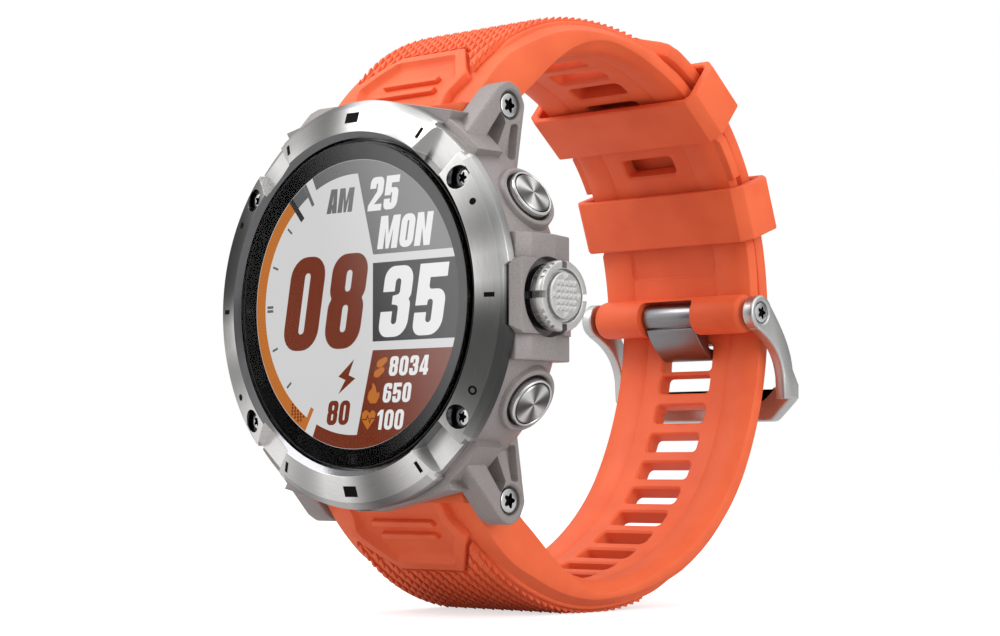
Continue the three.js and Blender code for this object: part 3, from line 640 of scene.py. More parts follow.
def add_world():
    """White behind the object, and a graded studio for everything that it reflects."""
    world = bpy.data.worlds.new("studio")
    bpy.context.scene.world = world
    world.use_nodes = True
    tree = world.node_tree
    tree.nodes.clear()
    look = Look("studio", tree)
    direction = look.add("TexCoord").outputs["Generated"]
    x, _, z = look.split(direction)
    overhead = look.remap(z, 0.2, 0.8, 0.0, 1.05)
    crown_side = look.remap(x, 0.3, 0.9, 0.0, 0.65)
    towards = look.add("VectorMath", {0: direction, 1: PANEL_BEARING}, operation="DOT_PRODUCT")
    panel = look.remap(towards.outputs["Value"], 0.8, 0.93, 0.0, 1.0)
    level = look.plus(look.plus(look.plus(overhead, STUDIO_BASE), crown_side), panel)
    studio = look.add("Background", {0: grey(1.0), 1: level}).outputs[0]
    backdrop = look.add("Background", {0: grey(1.0), 1: 1.0}).outputs[0]
    seen = look.add("LightPath").outputs["Is Camera Ray"]
    both = look.add("MixShader", {0: seen, 1: studio, 2: backdrop}).outputs[0]
    output = look.add("OutputWorld")
    tree.links.new(both, output.inputs[0])


def add_floor():
    """A plain pale floor under the lowest point. The camera sees it brighter than it lights
    the watch, so that it meets the backdrop."""
    level = cad_box[0][2] - 1 * MM
    corners = [(FLOOR_REACH * a, FLOOR_REACH * b, level) for a, b in SQUARE]
    floor = new_object("floor", corners, [(0, 1, 2, 3)])
    look = Look("floor")
    mottle = look.remap(look.noise(40.0), 0.3, 0.7, 0.55, 0.57)
    seen = look.add("LightPath").outputs["Is Camera Ray"]
    look.set(Base_Color=look.vector(mottle, mottle, mottle), Roughness=0.9, Specular_IOR_Level=0.0)
    look.set(Emission_Color=grey(1.0), Emission_Strength=look.math("MULTIPLY_ADD", seen, 0.6, 0.06))
    floor.data.materials.append(look.material)


def build_studio():
    scene = bpy.context.scene
    scene.view_settings.view_transform = "Standard"
    scene.view_settings.look = "None"
    add_world()
    add_camera()
    add_light("key", (-140, -160, 260), (0, 20, 0), (200, 160), 0.56)
    add_light("front", (90, -330, 60), (0, 10, 0), (180, 260), 0.05)
    add_light("crown_side", (330, 40, 90), (0, 30, 0), (160, 240), 0.3)
    add_floor()


# ---------------- case
CASE_R = 25
SEAM_DEPTH = 2.4
BACK_DEPTH = 13.4
CROWN_DEPTH = 7.7
BUTTON_ANGLE = 28.6
BUTTON_R = 3.05
BAR_DEPTH = 10.7
BAR_Z = 24
LUG_INNER_X = 13.2
LUG_OUTER_X = 16.8
SEAT_X = 26
SCREW_CIRCLE_R = 22.8
SCREW_ANGLE = 38.2
NOTCH_ANGLE = 50
STUD_PITCH = 0.74
PORT_Z = -15.6


def corner_name(sx, sz):
    return f"{'upper' if sz > 0 else 'lower'}_{'right' if sx > 0 else 'left'}"


def face_screw_spot(sx, sz):
    angle = radians(SCREW_ANGLE)
    return (sx * SCREW_CIRCLE_R * cos(angle), sz * SCREW_CIRCLE_R * sin(angle))


def button_frame(sz):
    """Local axes for a button: Z runs outwards along its axis, from the dial's axis."""
    angle = radians(sz * BUTTON_ANGLE)
    axes = Matrix(((0, 1, 0), (-sin(angle), 0, cos(angle)), (cos(angle), 0, sin(angle)))).transposed()
    return Matrix.Translation((0, CROWN_DEPTH, 0)) @ axes.to_4x4()


def pocket(outline, top_x, depth, draft):
    """A tapering recess cut into a lug's outer face."""
    floor_x = top_x - depth
    rings = [(floor_x, draft), (floor_x + 0.15, draft * 0.6), (top_x, 0.0), (top_x + 1, -0.1)]
    return loft([[(x, y, z) for y, z in inset(outline, d)] for x, d in rings])


def lug():
    """The lug at the upper right: a tapering plate with two pockets and a screw boss."""
    outline = rounded([(3, 16.0), (3, 20.1, 0.4), (8.6, 26.1, 0.8), (10.4, 27.1, 1.6), (12.3, 26.3, 1.2),
                       (13.3, 24.3, 1.2), (12.7, 20.8), (11.9, 16.0)], 0.3)
    plate = prism(outline, LUG_INNER_X, LUG_OUTER_X, "X", 0.3)
    front = rounded([(9.0, 23.3), (5.2, 18.6), (5.6, 17.3), (7.6, 17.3), (8.5, 19.3), (9.7, 21.7)], 0.35)
    rear = rounded([(10.7, 21.6), (12.0, 21.9), (11.4, 17.3), (9.4, 17.3)], 0.4)
    cut(plate, pocket(front, LUG_OUTER_X, 2.2, 0.3), pocket(rear, LUG_OUTER_X, 1.2, 0.5))
    bar = (BAR_DEPTH, BAR_Z)
    bore = lathe([(0, 15.6), (1.8, 15.6), (1.8, 16.55), (2.05, 16.82), (2.05, 19), (0, 19)], "X", bar, MEDIUM)
    return cut(plate, bore, rod(1.1, LUG_INNER_X - 1, LUG_OUTER_X, "X", bar))


def shoulder():
    """The wall in front of a lug, outside the bezel's notch, and the rim that runs from it
    towards the middle of the strap."""
    outline = arc(25.9, 43, 57.5) + arc(24.2, 57.5, 43)
    wall = prism(outline, 2.6, 7.0, "Y", 0.15)
    rim = prism(rounded([(1, 25.45), (14.7, 22.7), (13.4, 20.6), (1, 23)], 0.1), 2.6, 5.7, "Y", 0.12)
    return join(wall, rim)


def drum():
    """The round body, hollow from the front, with room for the straps' ends."""
    body = lathe([
        (21.3, 2.5), (24.7, 2.5, 0.15), (CASE_R, 5.8, 0.5), (24.6, 9.5, 1.0), (22.4, BACK_DEPTH, 0.5),
        (15.6, BACK_DEPTH, 0.2), (15.6, 11.8), (18.2, 11.8), (18.2, 6.4), (21.3, 6.4),
    ])
    for _, sz in SIDES:
        relief = rod(4.9, -LUG_INNER_X, LUG_INNER_X, "X", (BAR_DEPTH, sz * BAR_Z), 0, MEDIUM)
        hollow = block(-LUG_INNER_X, LUG_INNER_X, BAR_DEPTH, 15, sz * 23.6 - 4.5, sz * 23.6 + 4.5)
        cut(body, relief, hollow)
    return body


def crown_seat():
    """The block that the crown sits in, between its two guards."""
    side_view = rounded([(22, 2.6), (24.6, 2.6), (24.75, 1.25), (SEAT_X, 2.3), (SEAT_X, 9.6),
                         (24.4, 12.9), (22, 12.9)], 0.12)
    crown_view = rounded([(0.6, -3.0), (2.6, -4.45), (13.2, -4.45), (13.2, 4.45), (2.6, 4.45),
                          (0.6, 3.0)], 0.2)
    return combine(prism(side_view, -4.5, 4.5, "Z"), "INTERSECT", [prism(crown_view, 20, SEAT_X + 1, "X")])


def build_case():
    case = drum()
    guard = rounded([(22, 2.7), (24.6, 2.7), (25.5, 4.6), (25.4, 9.0), (24.2, 12.9), (22, 12.9)], 0.25)
    collar_profile = [(0, 21.5), (5.4, 21.5), (5.1, 22.6, 2), (4.3, 24.2, 2), (4.0, 25.5, 0.25), (0, 25.5)]
    for _, sz in SIDES:
        join(case, prism(guard, 5.95 * sz - 1.55, 5.95 * sz + 1.55, "Z", 0.18))
        join(case, moved(lathe(collar_profile, "Z", segments=MEDIUM), button_frame(sz)))
    join(case, crown_seat())
    for sx, sz in CORNERS:
        join(case, to_corner(join(lug(), shoulder()), sx, sz))
    crown_well = [(0, 23.8), (4.75, 23.8), (4.75, 25.7), (5.0, SEAT_X + 0.02), (5.2, 28), (0, 28)]
    axis = (CROWN_DEPTH, 0)
    cut(case, lathe(crown_well, "X", axis, MEDIUM), rod(2, 15, 25, "X", axis))
    button_well = [(0, 23.3), (3.35, 23.3), (3.35, 25.3), (3.6, 25.52), (3.6, 27), (0, 27)]
    for _, sz in SIDES:
        well = lathe(button_well, "Z", segments=MEDIUM)
        cut(case, moved(well, button_frame(sz)), moved(rod(1.4, 15, 24, "Z"), button_frame(sz)))
    for sx, sz in CORNERS:
        cut(case, rod(0.8, 1, 6, "Y", face_screw_spot(sx, sz)))
    finish(case, "case_body", LOOKS["case_finish"], "case", ["mid_case"], 30)


# ---------------- bezel, glass and screws
FACE_INNER = (21.15, -0.53)
FACE_OUTER = (24.3, 0.46)


def face_depth(radius):
    slope = (FACE_OUTER[1] - FACE_INNER[1]) / (FACE_OUTER[0] - FACE_INNER[0])
    return FACE_INNER[1] + (radius - FACE_INNER[0]) * slope


def notch_cutter(sx, sz):
    """Cuts a notch with one sloping end, through the bezel's face and its outer rim."""
    slope = [(1.5, 2.0), (1.5, 2.38), (-1.2, 3.7), (-1.2, 2.0)]
    tool = block(20.75, 27, -2, 1.5, -2.4, 2.4)
    join(tool, prism(slope, 20.75, 27, "X"), block(24.55, 27, -2, 4, -3.3, 3.3))
    return to_corner(turned_about_dial(tool, NOTCH_ANGLE), sx, sz)


def build_bezel():
    bezel = lathe([
        (18.7, 1.4), (20.4, 1.4), (20.4, 0.15), (*FACE_INNER, 0.08), (*FACE_OUTER, 0.1), (25.15, 1.25, 0.2),
        (25.15, SEAM_DEPTH, 0.05), (18.7, SEAM_DEPTH),
    ], segments=2 * ROUND)
    for sx, sz in CORNERS:
        spot = face_screw_spot(sx, sz)
        counterbore = rod(1.45, -2, 1.5, "Y", spot, 0, MEDIUM)
        cut(bezel, notch_cutter(sx, sz), counterbore, rod(0.8, 0, 4, "Y", spot))
        name = corner_name(sx, sz)
        finish_screw(f"face_screw_{name}", (1.07, 0.85, "Y", spot, -1), "case", f"bezel_screw_{name}")
    relief = rounded([(24.5, -3.35), (24.9, -3.9), (27, -4.75), (27, 4.75), (24.9, 3.9), (24.5, 3.35)], 0.1)
    cut(bezel, prism(relief, 0.75, 4, "Y"))
    finish(bezel, "bezel_ring", LOOKS["titanium"], "case", ["bezel"], 25)
    paint(bezel, LOOKS["satin_ring"], on_outer_chamfer)
    # Painted shade: the counterbores' faces below the marked face get the dark polish.
    paint(bezel, LOOKS["dark_polish_and_painted_shade"], lambda x, y, z: in_counterbore(x, z) and y > 0.12)
    paint(bezel, LOOKS["dark_polish_and_painted_shade"], lambda x, y, z: hypot(x, z) < FACE_INNER[0] - 0.1)


def build_marks():
    """Black inlays flush with the bezel's face: hour bars, dots and a ring."""
    bars = [(angle, 22.35, 23.75, 0.25) for angle in (60, 120, -60, -120)]
    bars += [(angle, 22.3, 23.6, 0.28) for angle in (0, 180)]
    bars += [(angle, 22.3, 23.6, 1.1) for angle in (90, -90)]
    marks = [turned_about_dial(block(r0, r1, -2, 2, -half, half), angle) for angle, r0, r1, half in bars]
    for angle in (BUTTON_ANGLE, 180 - BUTTON_ANGLE, 180 + BUTTON_ANGLE):
        marks.append(turned_about_dial(rod(0.42, -2, 2, "Y", (23.1, 0)), angle))
    ring = cut(rod(0.55, -2, 2, "Y", (23.1, 0)), rod(0.3, -3, 3, "Y", (23.1, 0)))
    marks.append(turned_about_dial(ring, -BUTTON_ANGLE))
    skin = [(20.9, -0.02), (24.35, -0.02), (24.35, 0.1), (20.9, 0.1)]
    shell = lathe([(r, face_depth(r) + lift) for r, lift in skin])
    inlays = combine(gather(marks), "INTERSECT", [shell])
    finish(inlays, "bezel_marks", LOOKS["black_inlay_and_painted_shade"], "case")


def on_outer_chamfer(x, _, z):
    in_notch = abs(degrees(atan2(abs(z), abs(x))) - NOTCH_ANGLE) < 9
    return hypot(x, z) > FACE_OUTER[0] + 0.06 and not in_notch


def in_counterbore(x, z):
    centre = face_screw_spot(1, 1)
    return hypot(abs(x) - centre[0], abs(z) - centre[1]) < 1.47


def star_screw(radius, face, along, centre, out, depth=0.55):
    """A pan-head screw with a five-lobed recess. The head's face looks along out."""
    edge = 0.16

    def at(distance):
        return face - out * distance

    head = lathe([(0, at(0)), (radius - edge * 2, at(0)), (radius - edge * 0.4, at(edge * 0.5)),
                  (radius, at(edge * 1.4)), (radius, at(depth)), (0, at(depth))], along, centre, MEDIUM)
    turns = [2 * pi * i / MEDIUM for i in range(MEDIUM)]
    star = [((0.52 + 0.13 * cos(5 * a)) * radius, a) for a in turns]
    outline = [(centre[0] + r * cos(a), centre[1] + r * sin(a)) for r, a in star]
    return cut(head, prism(outline, *sorted((at(-1), at(depth * 0.7))), along))


def finish_screw(name, design, body, stands_for, sx=1):
    """Makes a screw from star_screw's arguments, with painted shade in its recess. The left hand's screws
    (sx = -1) are drawn on the right and mirrored."""
    radius, face, along, centre, out = design[:5]
    screw = to_corner(star_screw(*design), sx)
    finish(screw, name, LOOKS["polished_steel"], body, [stands_for])
    level = 0 if along == "X" else 1

    def in_recess(*place):
        rest = [abs(place[0]) if level == 0 else place[0], *place[1:]]
        height = rest.pop(level)
        reach = hypot(rest[0] - centre[0], rest[1] - centre[1])
        return (face - height) * out > 0.06 and reach < 0.68 * radius

    # Painted shade: the faces deep in the recess get black.
    paint(screw, LOOKS["black_inlay_and_painted_shade"], in_recess)


def build_lens():
    glass = lathe([(0, LENS_FRONT), (19.75, LENS_FRONT, 0.3), (20.1, -0.05), (20.1, 0.36), (0, 0.36)])
    finish(glass, "cover_lens", LOOKS["cover_glass"], "case", ["lens"])


def build_lug_screws():
    for side, sz in SIDES:
        for hand, sx in HANDS:
            design = (1.5, 16.5, "X", (BAR_DEPTH, sz * BAR_Z), 1, 0.7)
            finish_screw(f"bar_screw_{side}_{hand}", design, "case", f"lug_screw_{side}_{hand}", sx)


# ---------------- crown and buttons
def round_crown(angle, piece):
    """Turns a piece about the crown's axis, from the back of the watch."""
    return moved(piece, Matrix.Translation((0, CROWN_DEPTH, 0)) @ Matrix.Rotation(radians(angle), 4, "X"))


def build_crown_ring():
    """The knurled knob with four slots, and the dark flange under it."""
    axis = (CROWN_DEPTH, 0)
    profile = [(1.2, 24.6), (3.8, 24.6, 0.2), (3.95, 25.0, 0.1), (3.95, 26.0, 0.1), (1.2, 26.0)]
    flange = lathe(profile, "X", axis, MEDIUM)
    knob = lathe([
        (1.0, 26.0), (3.75, 26.0), (4.1, 26.15), (4.1, 26.85), (4.2, 26.95), (4.2, 27.65), (4.0, 27.9),
        (3.2, 27.9), (3.1, 27.3), (0.0, 27.3), (0.0, 26.8), (1.0, 26.8),
    ], "X", axis, MEDIUM, 0.07)
    for angle in (0, 90, 180, 270):
        cut(flange, round_crown(angle, block(25.2, 27, 3.5, 5, -0.42, 0.42)))
        cut(knob, round_crown(angle, block(25, 29, 3.25, 5, -0.42, 0.42, 0.05)))
        for spread in (-50, -28, 28, 50):
            cut(knob, round_crown(angle + spread, block(26.05, 26.8, 3.85, 5, -0.3, 0.3)))
            cut(knob, round_crown(angle + spread, block(27.3, 28.4, 4.02, 5, -0.22, 0.22)))
    finish(flange, "crown_flange", LOOKS["dark_polish_and_painted_shade"], "crown")
    finish(knob, "crown_ring", LOOKS["knurled"], "crown", ["crown_knob"], 30)


def build_crown_face():
    """The cap, whose face is cut into small pyramids."""
    profile = [(0, 27.35), (2.8, 27.35), (2.8, 28.0, 0.15), (2.66, 28.15, 0.05), (0, 28.15)]
    cap = lathe(profile, "X", (CROWN_DEPTH, 0), MEDIUM)
    reach = STUD_PITCH / 2 - 0.01
    studs = []
    for i in range(-4, 5):
        for j in range(-4, 5):
            y, z = (i * STUD_PITCH, j * STUD_PITCH)
            if hypot(y, z) > 2.62 - STUD_PITCH * 0.5:
                continue
            ring = [(y + CROWN_DEPTH + a * reach, z + b * reach) for a, b in SQUARE]
            levels = ((28.0, 0.0), (28.16, 0.0), (28.42, reach * 0.86))
            studs.append(loft([[(x, u, v) for u, v in inset(ring, d)] for x, d in levels]))
    join(cap, gather(studs))
    finish(cap, "crown_face", LOOKS["knurled"], "crown", ["crown_cap"], 20)


def build_buttons():
    for side, sz in SIDES:
        local = button_frame(sz)
        body = f"{side}_button"
        ring = lathe([
            (0, 24.2), (2.95, 24.2), (BUTTON_R, 24.4), (BUTTON_R, 25.95), (2.95, 26.15), (2.78, 26.15),
            (2.7, 26.05), (2.7, 24.7), (0, 24.7),
        ], "Z", segments=MEDIUM, rounding=0.08)
        cap = lathe([(0, 24.8), (2.58, 24.8), (2.58, 26.1, 0.1), (2.42, 26.24, 0.1), (0, 26.3)], "Z")
        rim_look = LOOKS["polished_steel"]
        finish(ring, f"{body}_rim", rim_look, body, [f"{body}_ring"], 40, local)
        finish(cap, f"{body}_face", LOOKS["disc"], body, [f"{body}_cap"], 40, local)


# ---------------- case back
def build_back():
    cover = lathe([(12.6, 13.5), (20.6, 13.5, 0.1), (20.2, 14.4, 0.3), (13.1, 14.4, 0.1), (12.6, 14.2, 0.1)])
    for _, sz in SIDES:
        cut(cover, block(-25, 25, 12, 16, *sorted((sz * 18.8, sz * 22.8))))
    for sx, sz in CORNERS:
        spot = (sx * 13.6, sz * 13.6)
        cut(cover, rod(0.7, 12, 16, "Y", spot), rod(1.25, 13.95, 16, "Y", spot))
        name = corner_name(sx, sz)
        finish_screw(f"rear_screw_{name}", (1.05, 14.35, "Y", spot, 1, 0.4), "case", f"back_screw_{name}")
    cut(cover, prism(rectangle(-4, 4, PORT_Z - 1.5, PORT_Z + 1.5, 0.9), 12, 16, "Y"))
    finish(cover, "rear_cover", LOOKS["black_plastic"], "case", ["back_cover"], 30)
    port = prism(rectangle(-3.8, 3.8, PORT_Z - 1.3, PORT_Z + 1.3, 0.8), 13.55, 14.1, "Y", 0.08)
    finish(port, "charging_pad", LOOKS["black_rubber"], "case", ["charging_port"])
    contacts = gather(rod(0.45, 14.0, 14.16, "Y", (x, PORT_Z), 0.04) for x in (-2.4, -0.8, 0.8, 2.4))
    finish(contacts, "charging_contacts", LOOKS["polished_steel"], "case")
    dome = lathe([(0, 13.5), (12.4, 13.5), (12.4, 14.5, 0.3), (11, 15.05, 2), (8, 15.38, 2), (0, 15.4)])
    for radius, spot in ((2.1, (0, 0)), (1.3, (0, 4.6)), (1.3, (0, -4.6)), (1.3, (4.6, 0)), (1.3, (-4.6, 0))):
        outer = rod(radius + 0.12, 15.2, 16, "Y", spot, 0, MEDIUM)
        cut(dome, cut(outer, rod(radius, 15, 17, "Y", spot, 0, MEDIUM)))
    finish(dome, "sensor_dome", LOOKS["sensor_glass"], "case", ["sensor_window"], 30)


# ---------------- display
SLANT = 0.18
CELL_SIZE = 0.12
SHOWN_R = 17.78
AREA_R = 17.74
LAYER = 0.02
TEXT_LEVEL = 4
# Each ink: its colour, its own light and the colour that it fades to.
INKS = {
    "field": ("e9e9e9", 0.82, None),
    "grey": ("6e6e6f", 0.8, "8a8a8b"),
    "dark": ("363637", 0.8, None),
    "black": ("181818", 0.0, None),
    "brown": ("80371f", 0.8, "84402c"),
    "orange": ("d07a30", 0.82, None),
    "white": ("fafafa", 0.85, None),
    "shade": ("5c5c5d", 0.15, None),
}
# Each word: its ink, characters, foot (x, z), width, height, stem and gap.
WORDS = (
    ("grey", "AM", -4.85, 11.4, 4.5, 3.0, 0.78, 0.18),
    ("white", "25", 2.4, 11.2, 4.95, 4.1, 1.02, 0.35),
    ("white", "MON", 4.1, 6.45, 8.85, 4.0, 1.0, 0.3),
    ("brown", "08", -12.95, -5.44, 13.75, 11.7, 2.62, 1.25),
    ("white", "35", 4.2, -4.3, 10.6, 8.55, 1.95, 0.95),
    ("brown", "80", -4.75, -14.8, 3.85, 3.0, 0.72, 0.28),
    ("white", "8034", 6.1, -9.0, 6.55, 2.35, 0.56, 0.28),
    ("white", "650", 5.05, -12.2, 4.65, 2.35, 0.54, 0.28),
    ("white", "100", 3.95, -15.45, 4.5, 2.4, 0.54, 0.28),
)


def layer(outline, level, holes=()):
    """A flat area of the display. Higher levels lie nearer the glass."""
    depth = 0.48 - level * LAYER
    area = prism(outline, depth, depth + LAYER * 0.8, "Y")
    for hole in holes:
        cut(area, prism(hole, depth - 1, depth + 1, "Y"))
    return area


def sector(r0, r1, a0, a1, level):
    return layer(arc(r1, a0, a1, step=2) + arc(r0, a1, a0, step=2), level)


def tick(r0, r1, angle, width, level, shift=0.0):
    a = radians(angle)
    corners = rectangle(r0, r1, shift - width / 2, shift + width / 2)
    return layer([(r * cos(a) - t * sin(a), r * sin(a) + t * cos(a)) for r, t in corners], level)


def glyph(character, w, h, s):
    """The outlines of a heavy narrow figure or letter: w wide, h high, with stems s wide.
    An O is a nought."""
    character = character.replace("O", "0")
    b = s * 0.78
    big = w * 0.42
    small = max(0.02, (w - 2 * s) * 0.48)
    waist = w * 0.07
    plain = {
        "0": ([(0, 0), (w, 0), (w, h), (0, h)], big),
        "1": ([(w * .4, 0, 0), (w * .4 + s, 0, 0), (w * .4 + s, h, 0), (w * .45, h, 0), (0, h * .82, 0),
               (0, h * .68, 0), (w * .4, h * .76, 0)], 0),
        "2": ([(0, 0, 0), (w, 0, 0), (w, b, 0), (s * .95, b, 0), (w, h * .5), (w, h), (0, h), (0, h * .66, 0),
               (s, h * .66, 0), (s, h - b, small), (w - s, h - b, small), (w - s, h * .57, small),
               (0, h * .17, 0)], big * .8),
        "3": ([(0, 0), (w, 0), (w, h * .47, w * .25), (w - waist, h * .525, 0.05), (w, h * .58, w * .2),
               (w, h), (0, h),
               (0, h * .64, 0), (s, h * .64, 0), (s, h - b, small), (w - s, h - b, small),
               (w - s, h * .6, small),
               (w * .36, h * .58, 0), (w * .36, h * .46, 0), (w - s, h * .44, small), (w - s, b, small),
               (s, b, small), (s, h * .36, 0), (0, h * .36, 0)], big),
        "4": ([(w * .42, h, 0), (w * .88, h, 0), (w * .88, h * .34, 0), (w, h * .34, 0), (w, h * .34 - b, 0),
               (w * .88, h * .34 - b, 0), (w * .88, 0, 0), (w * .88 - s, 0, 0), (w * .88 - s, h * .34 - b, 0),
               (0, h * .34 - b, 0), (0, h * .36, 0)], 0),
        "5": ([(0, 0), (w, 0), (w, h * .64), (s, h * .64, small), (s, h - b * 1.1, 0),
               (w * .98, h - b * 1.1, 0), (w * .98, h, 0), (0, h, 0), (0, h * .42, 0), (s, h * .42, 0),
               (s, h * .5, small), (w - s, h * .5, small), (w - s, b, small), (s, b, small),
               (s, h * .32, 0), (0, h * .32, 0)], big),
        "6": ([(0, 0), (w, 0), (w, h * .6), (s, h * .6, small), (s, h - b, small), (w - s, h - b, small),
               (w - s, h * .7, 0), (w, h * .7, 0), (w, h), (0, h)], big),
        "8": ([(0, 0), (w, 0), (w, h * .46, w * .25), (w - waist, h * .53, 0.05), (w, h * .6, w * .25),
               (w, h), (0, h), (0, h * .6, w * .25), (waist, h * .53, 0.05), (0, h * .46, w * .25)], big),
        "A": ([(0, 0, 0), (s, 0, 0), (s * 1.12, h * .2, 0), (w - s * 1.12, h * .2, 0), (w - s, 0, 0),
               (w, 0, 0),
               (w * .5 + s * .72, h, 0), (w * .5 - s * .72, h, 0)], 0),
        "M": ([(0, 0, 0), (s, 0, 0), (s, h * .66, 0), (w * .42, 0, 0), (w * .58, 0, 0), (w - s, h * .66, 0),
               (w - s, 0, 0), (w, 0, 0), (w, h, 0), (w - s * 1.2, h, 0), (w / 2, h * .42, 0),
               (s * 1.2, h, 0), (0, h, 0)], 0),
        "N": ([(0, 0, 0), (s, 0, 0), (s, h * .56, 0), (w - s, 0, 0), (w, 0, 0), (w, h, 0), (w - s, h, 0),
               (w - s, h * .44, 0), (s, h, 0), (0, h, 0)], 0),
    }
    holes = {
        "0": [rectangle(s, w - s, b, h - b, small)],
        "8": [rectangle(s, w - s, b, h * .46, small), rectangle(s, w - s, h * .6, h - b, small)],
        "6": [rectangle(s, w - s, b, h * .5, small)],
        "4": [[(w * .88 - s, h * .36), (s * .8, h * .36), (w * .88 - s, h * .84)]],
        "A": [[(s * 1.25, h * .36), (w - s * 1.25, h * .36), (w / 2, h * .78)]],
    }
    corners, radius = plain[character]
    return rounded(corners, radius, 15), holes.get(character, [])


def slanted(outline, x, z):
    return [(x + u + SLANT * v, z + v) for u, v in outline]


def word(characters, x, z, width, height, stem, gap):
    """Figures set side by side in a given width, measured along the foot line."""
    shares = [{"1": 0.72, "M": 1.45, "N": 1.12}.get(character, 1.0) for character in characters]
    unit = (width - gap * (len(characters) - 1)) / sum(shares)
    solids = []
    for character, share in zip(characters, shares):
        outline, holes = glyph(character, unit * share, height, stem)
        solids.append(layer(slanted(outline, x, z), TEXT_LEVEL, [slanted(hole, x, z) for hole in holes]))
        x += unit * share + gap
    return solids


def draw_areas(drawn):
    """The dial's field, its orange scale and the three areas on the crown side."""
    drawn["field"].append(layer(circle(SHOWN_R, segments=180), 0))
    drawn["orange"] += [sector(16.1, 17.7, 130, 240, 1), tick(14.6, 17.7, 240, 0.6, 1)]
    drawn["dark"].append(tick(14.3, 17.72, 130, 0.75, 2))
    drawn["grey"] += [tick(14.6, 17.7, 120, 0.5, 2), sector(16.05, 17.72, 121, 129, 1)]
    drawn["grey"].append(sector(16.05, AREA_R, 86, 115, 1))
    top = degrees(acos(0.67 / AREA_R))
    for ink_name, side, foot, tip in (("grey", 1, 5.86, 16.05), ("brown", -1, 5.8, 16.03)):
        low = degrees(atan2(5.86, sqrt(AREA_R ** 2 - 5.86 ** 2)))
        rim = arc(AREA_R, side * top, side * low, step=2)
        drawn[ink_name].append(layer([(3.39, side * foot), (0.67, side * tip)] + rim, 2))
    drawn["brown"].append(sector(16.05, AREA_R, -114, -86, 1))
    edge = sqrt(AREA_R ** 2 - 4.83 ** 2)
    rim = arc(AREA_R, degrees(atan2(4.83, edge)), degrees(atan2(-4.75, edge)), step=2)
    drawn["dark"].append(layer([(3.36, -4.75), (3.36, 4.83)] + rim, 2))


def draw_ticks(drawn):
    """The field's short ticks, the chequer at the scale's foot and the marks in the border."""
    for angle in (140, 160, 200, 220):
        drawn["grey"].append(tick(14.6, 15.6, angle, 0.28, 2))
    drawn["grey"] += [tick(14.6, 15.7, 180, 0.34, 2, shift) for shift in (-0.25, 0.25)]
    for row in range(4):
        for step in range(row % 2, 9 - row, 2):
            radius = 16.15 + row * 0.32
            drawn["brown"].append(tick(radius, radius + 0.3, 237 - step * 1.1 - row * 0.3, 0.3, 2))
    drawn["black"].append(lathe([(SHOWN_R, 0.4), (20.0, 0.4), (20.0, 0.45), (SHOWN_R, 0.45)]))
    for angle in range(0, 360, 30):
        if angle % 90:
            drawn["shade"] += [tick(18.5, 19.5, angle, 0.1, 5, shift) for shift in (-0.25, 0.25)]
        else:
            drawn["shade"] += [tick(18.4, 19.6, angle, 0.12, 5, shift) for shift in (-0.6, 0.6)]
            drawn["shade"] += [tick(18.4, 18.52, angle, 1.2, 5), tick(18.75, 19.6, angle, 0.5, 5)]


def draw_icons(drawn):
    """A bolt, a pair of soles, a flame and a heart with a pulse."""
    bolt = [(0.17, -6.8), (-2.58, -8.86), (-1.35, -9.3), (-2.58, -11.0), (0.39, -9.14), (-0.78, -8.72)]
    sole = rounded([(0, 0.1), (0.9, 0), (1.85, 0.75), (1.7, 1.3), (1.0, 1.15), (0.2, 0.85)], 0.35)
    flame = rounded([(3.0, -12.25), (4.0, -12.25), (4.6, -11.4), (4.55, -10.7), (4.15, -11.2), (3.9, -10.2),
                     (3.35, -9.6), (3.35, -10.4), (2.75, -10.9), (2.5, -11.6)], 0.14)
    heart = rounded([(2.5, -15.45), (3.75, -14.2), (3.95, -13.4, .3), (3.45, -13.0, .3), (2.9, -13.45),
                     (2.3, -13.0, .3), (1.6, -13.4, .3), (1.55, -14.2)], 0.12)
    pulse = [(1.5, -14.12), (2.3, -14.12), (2.6, -13.6), (2.95, -14.45), (3.1, -14.0), (3.9, -14.0),
             (3.9, -14.15), (3.2, -14.15), (2.95, -14.75), (2.6, -13.95), (2.38, -14.27), (1.5, -14.27)]
    shapes = [slanted(sole, x, z) for x, z in ((3.45, -9.15), (3.95, -7.95))] + [flame, heart]
    drawn["brown"] += [layer(bolt, TEXT_LEVEL), layer(pulse, TEXT_LEVEL + 1)]
    drawn["orange"] += [layer(shape, TEXT_LEVEL) for shape in shapes]


def build_display():
    drawn = {name: [] for name in INKS}
    draw_areas(drawn)
    draw_ticks(drawn)
    draw_icons(drawn)
    for ink_name, *setting in WORDS:
        drawn[ink_name] += word(*setting)
    for name, solids in drawn.items():
        finish(gather(solids), f"screen_{name}", ink(f"ink_{name}", *INKS[name]), "case")


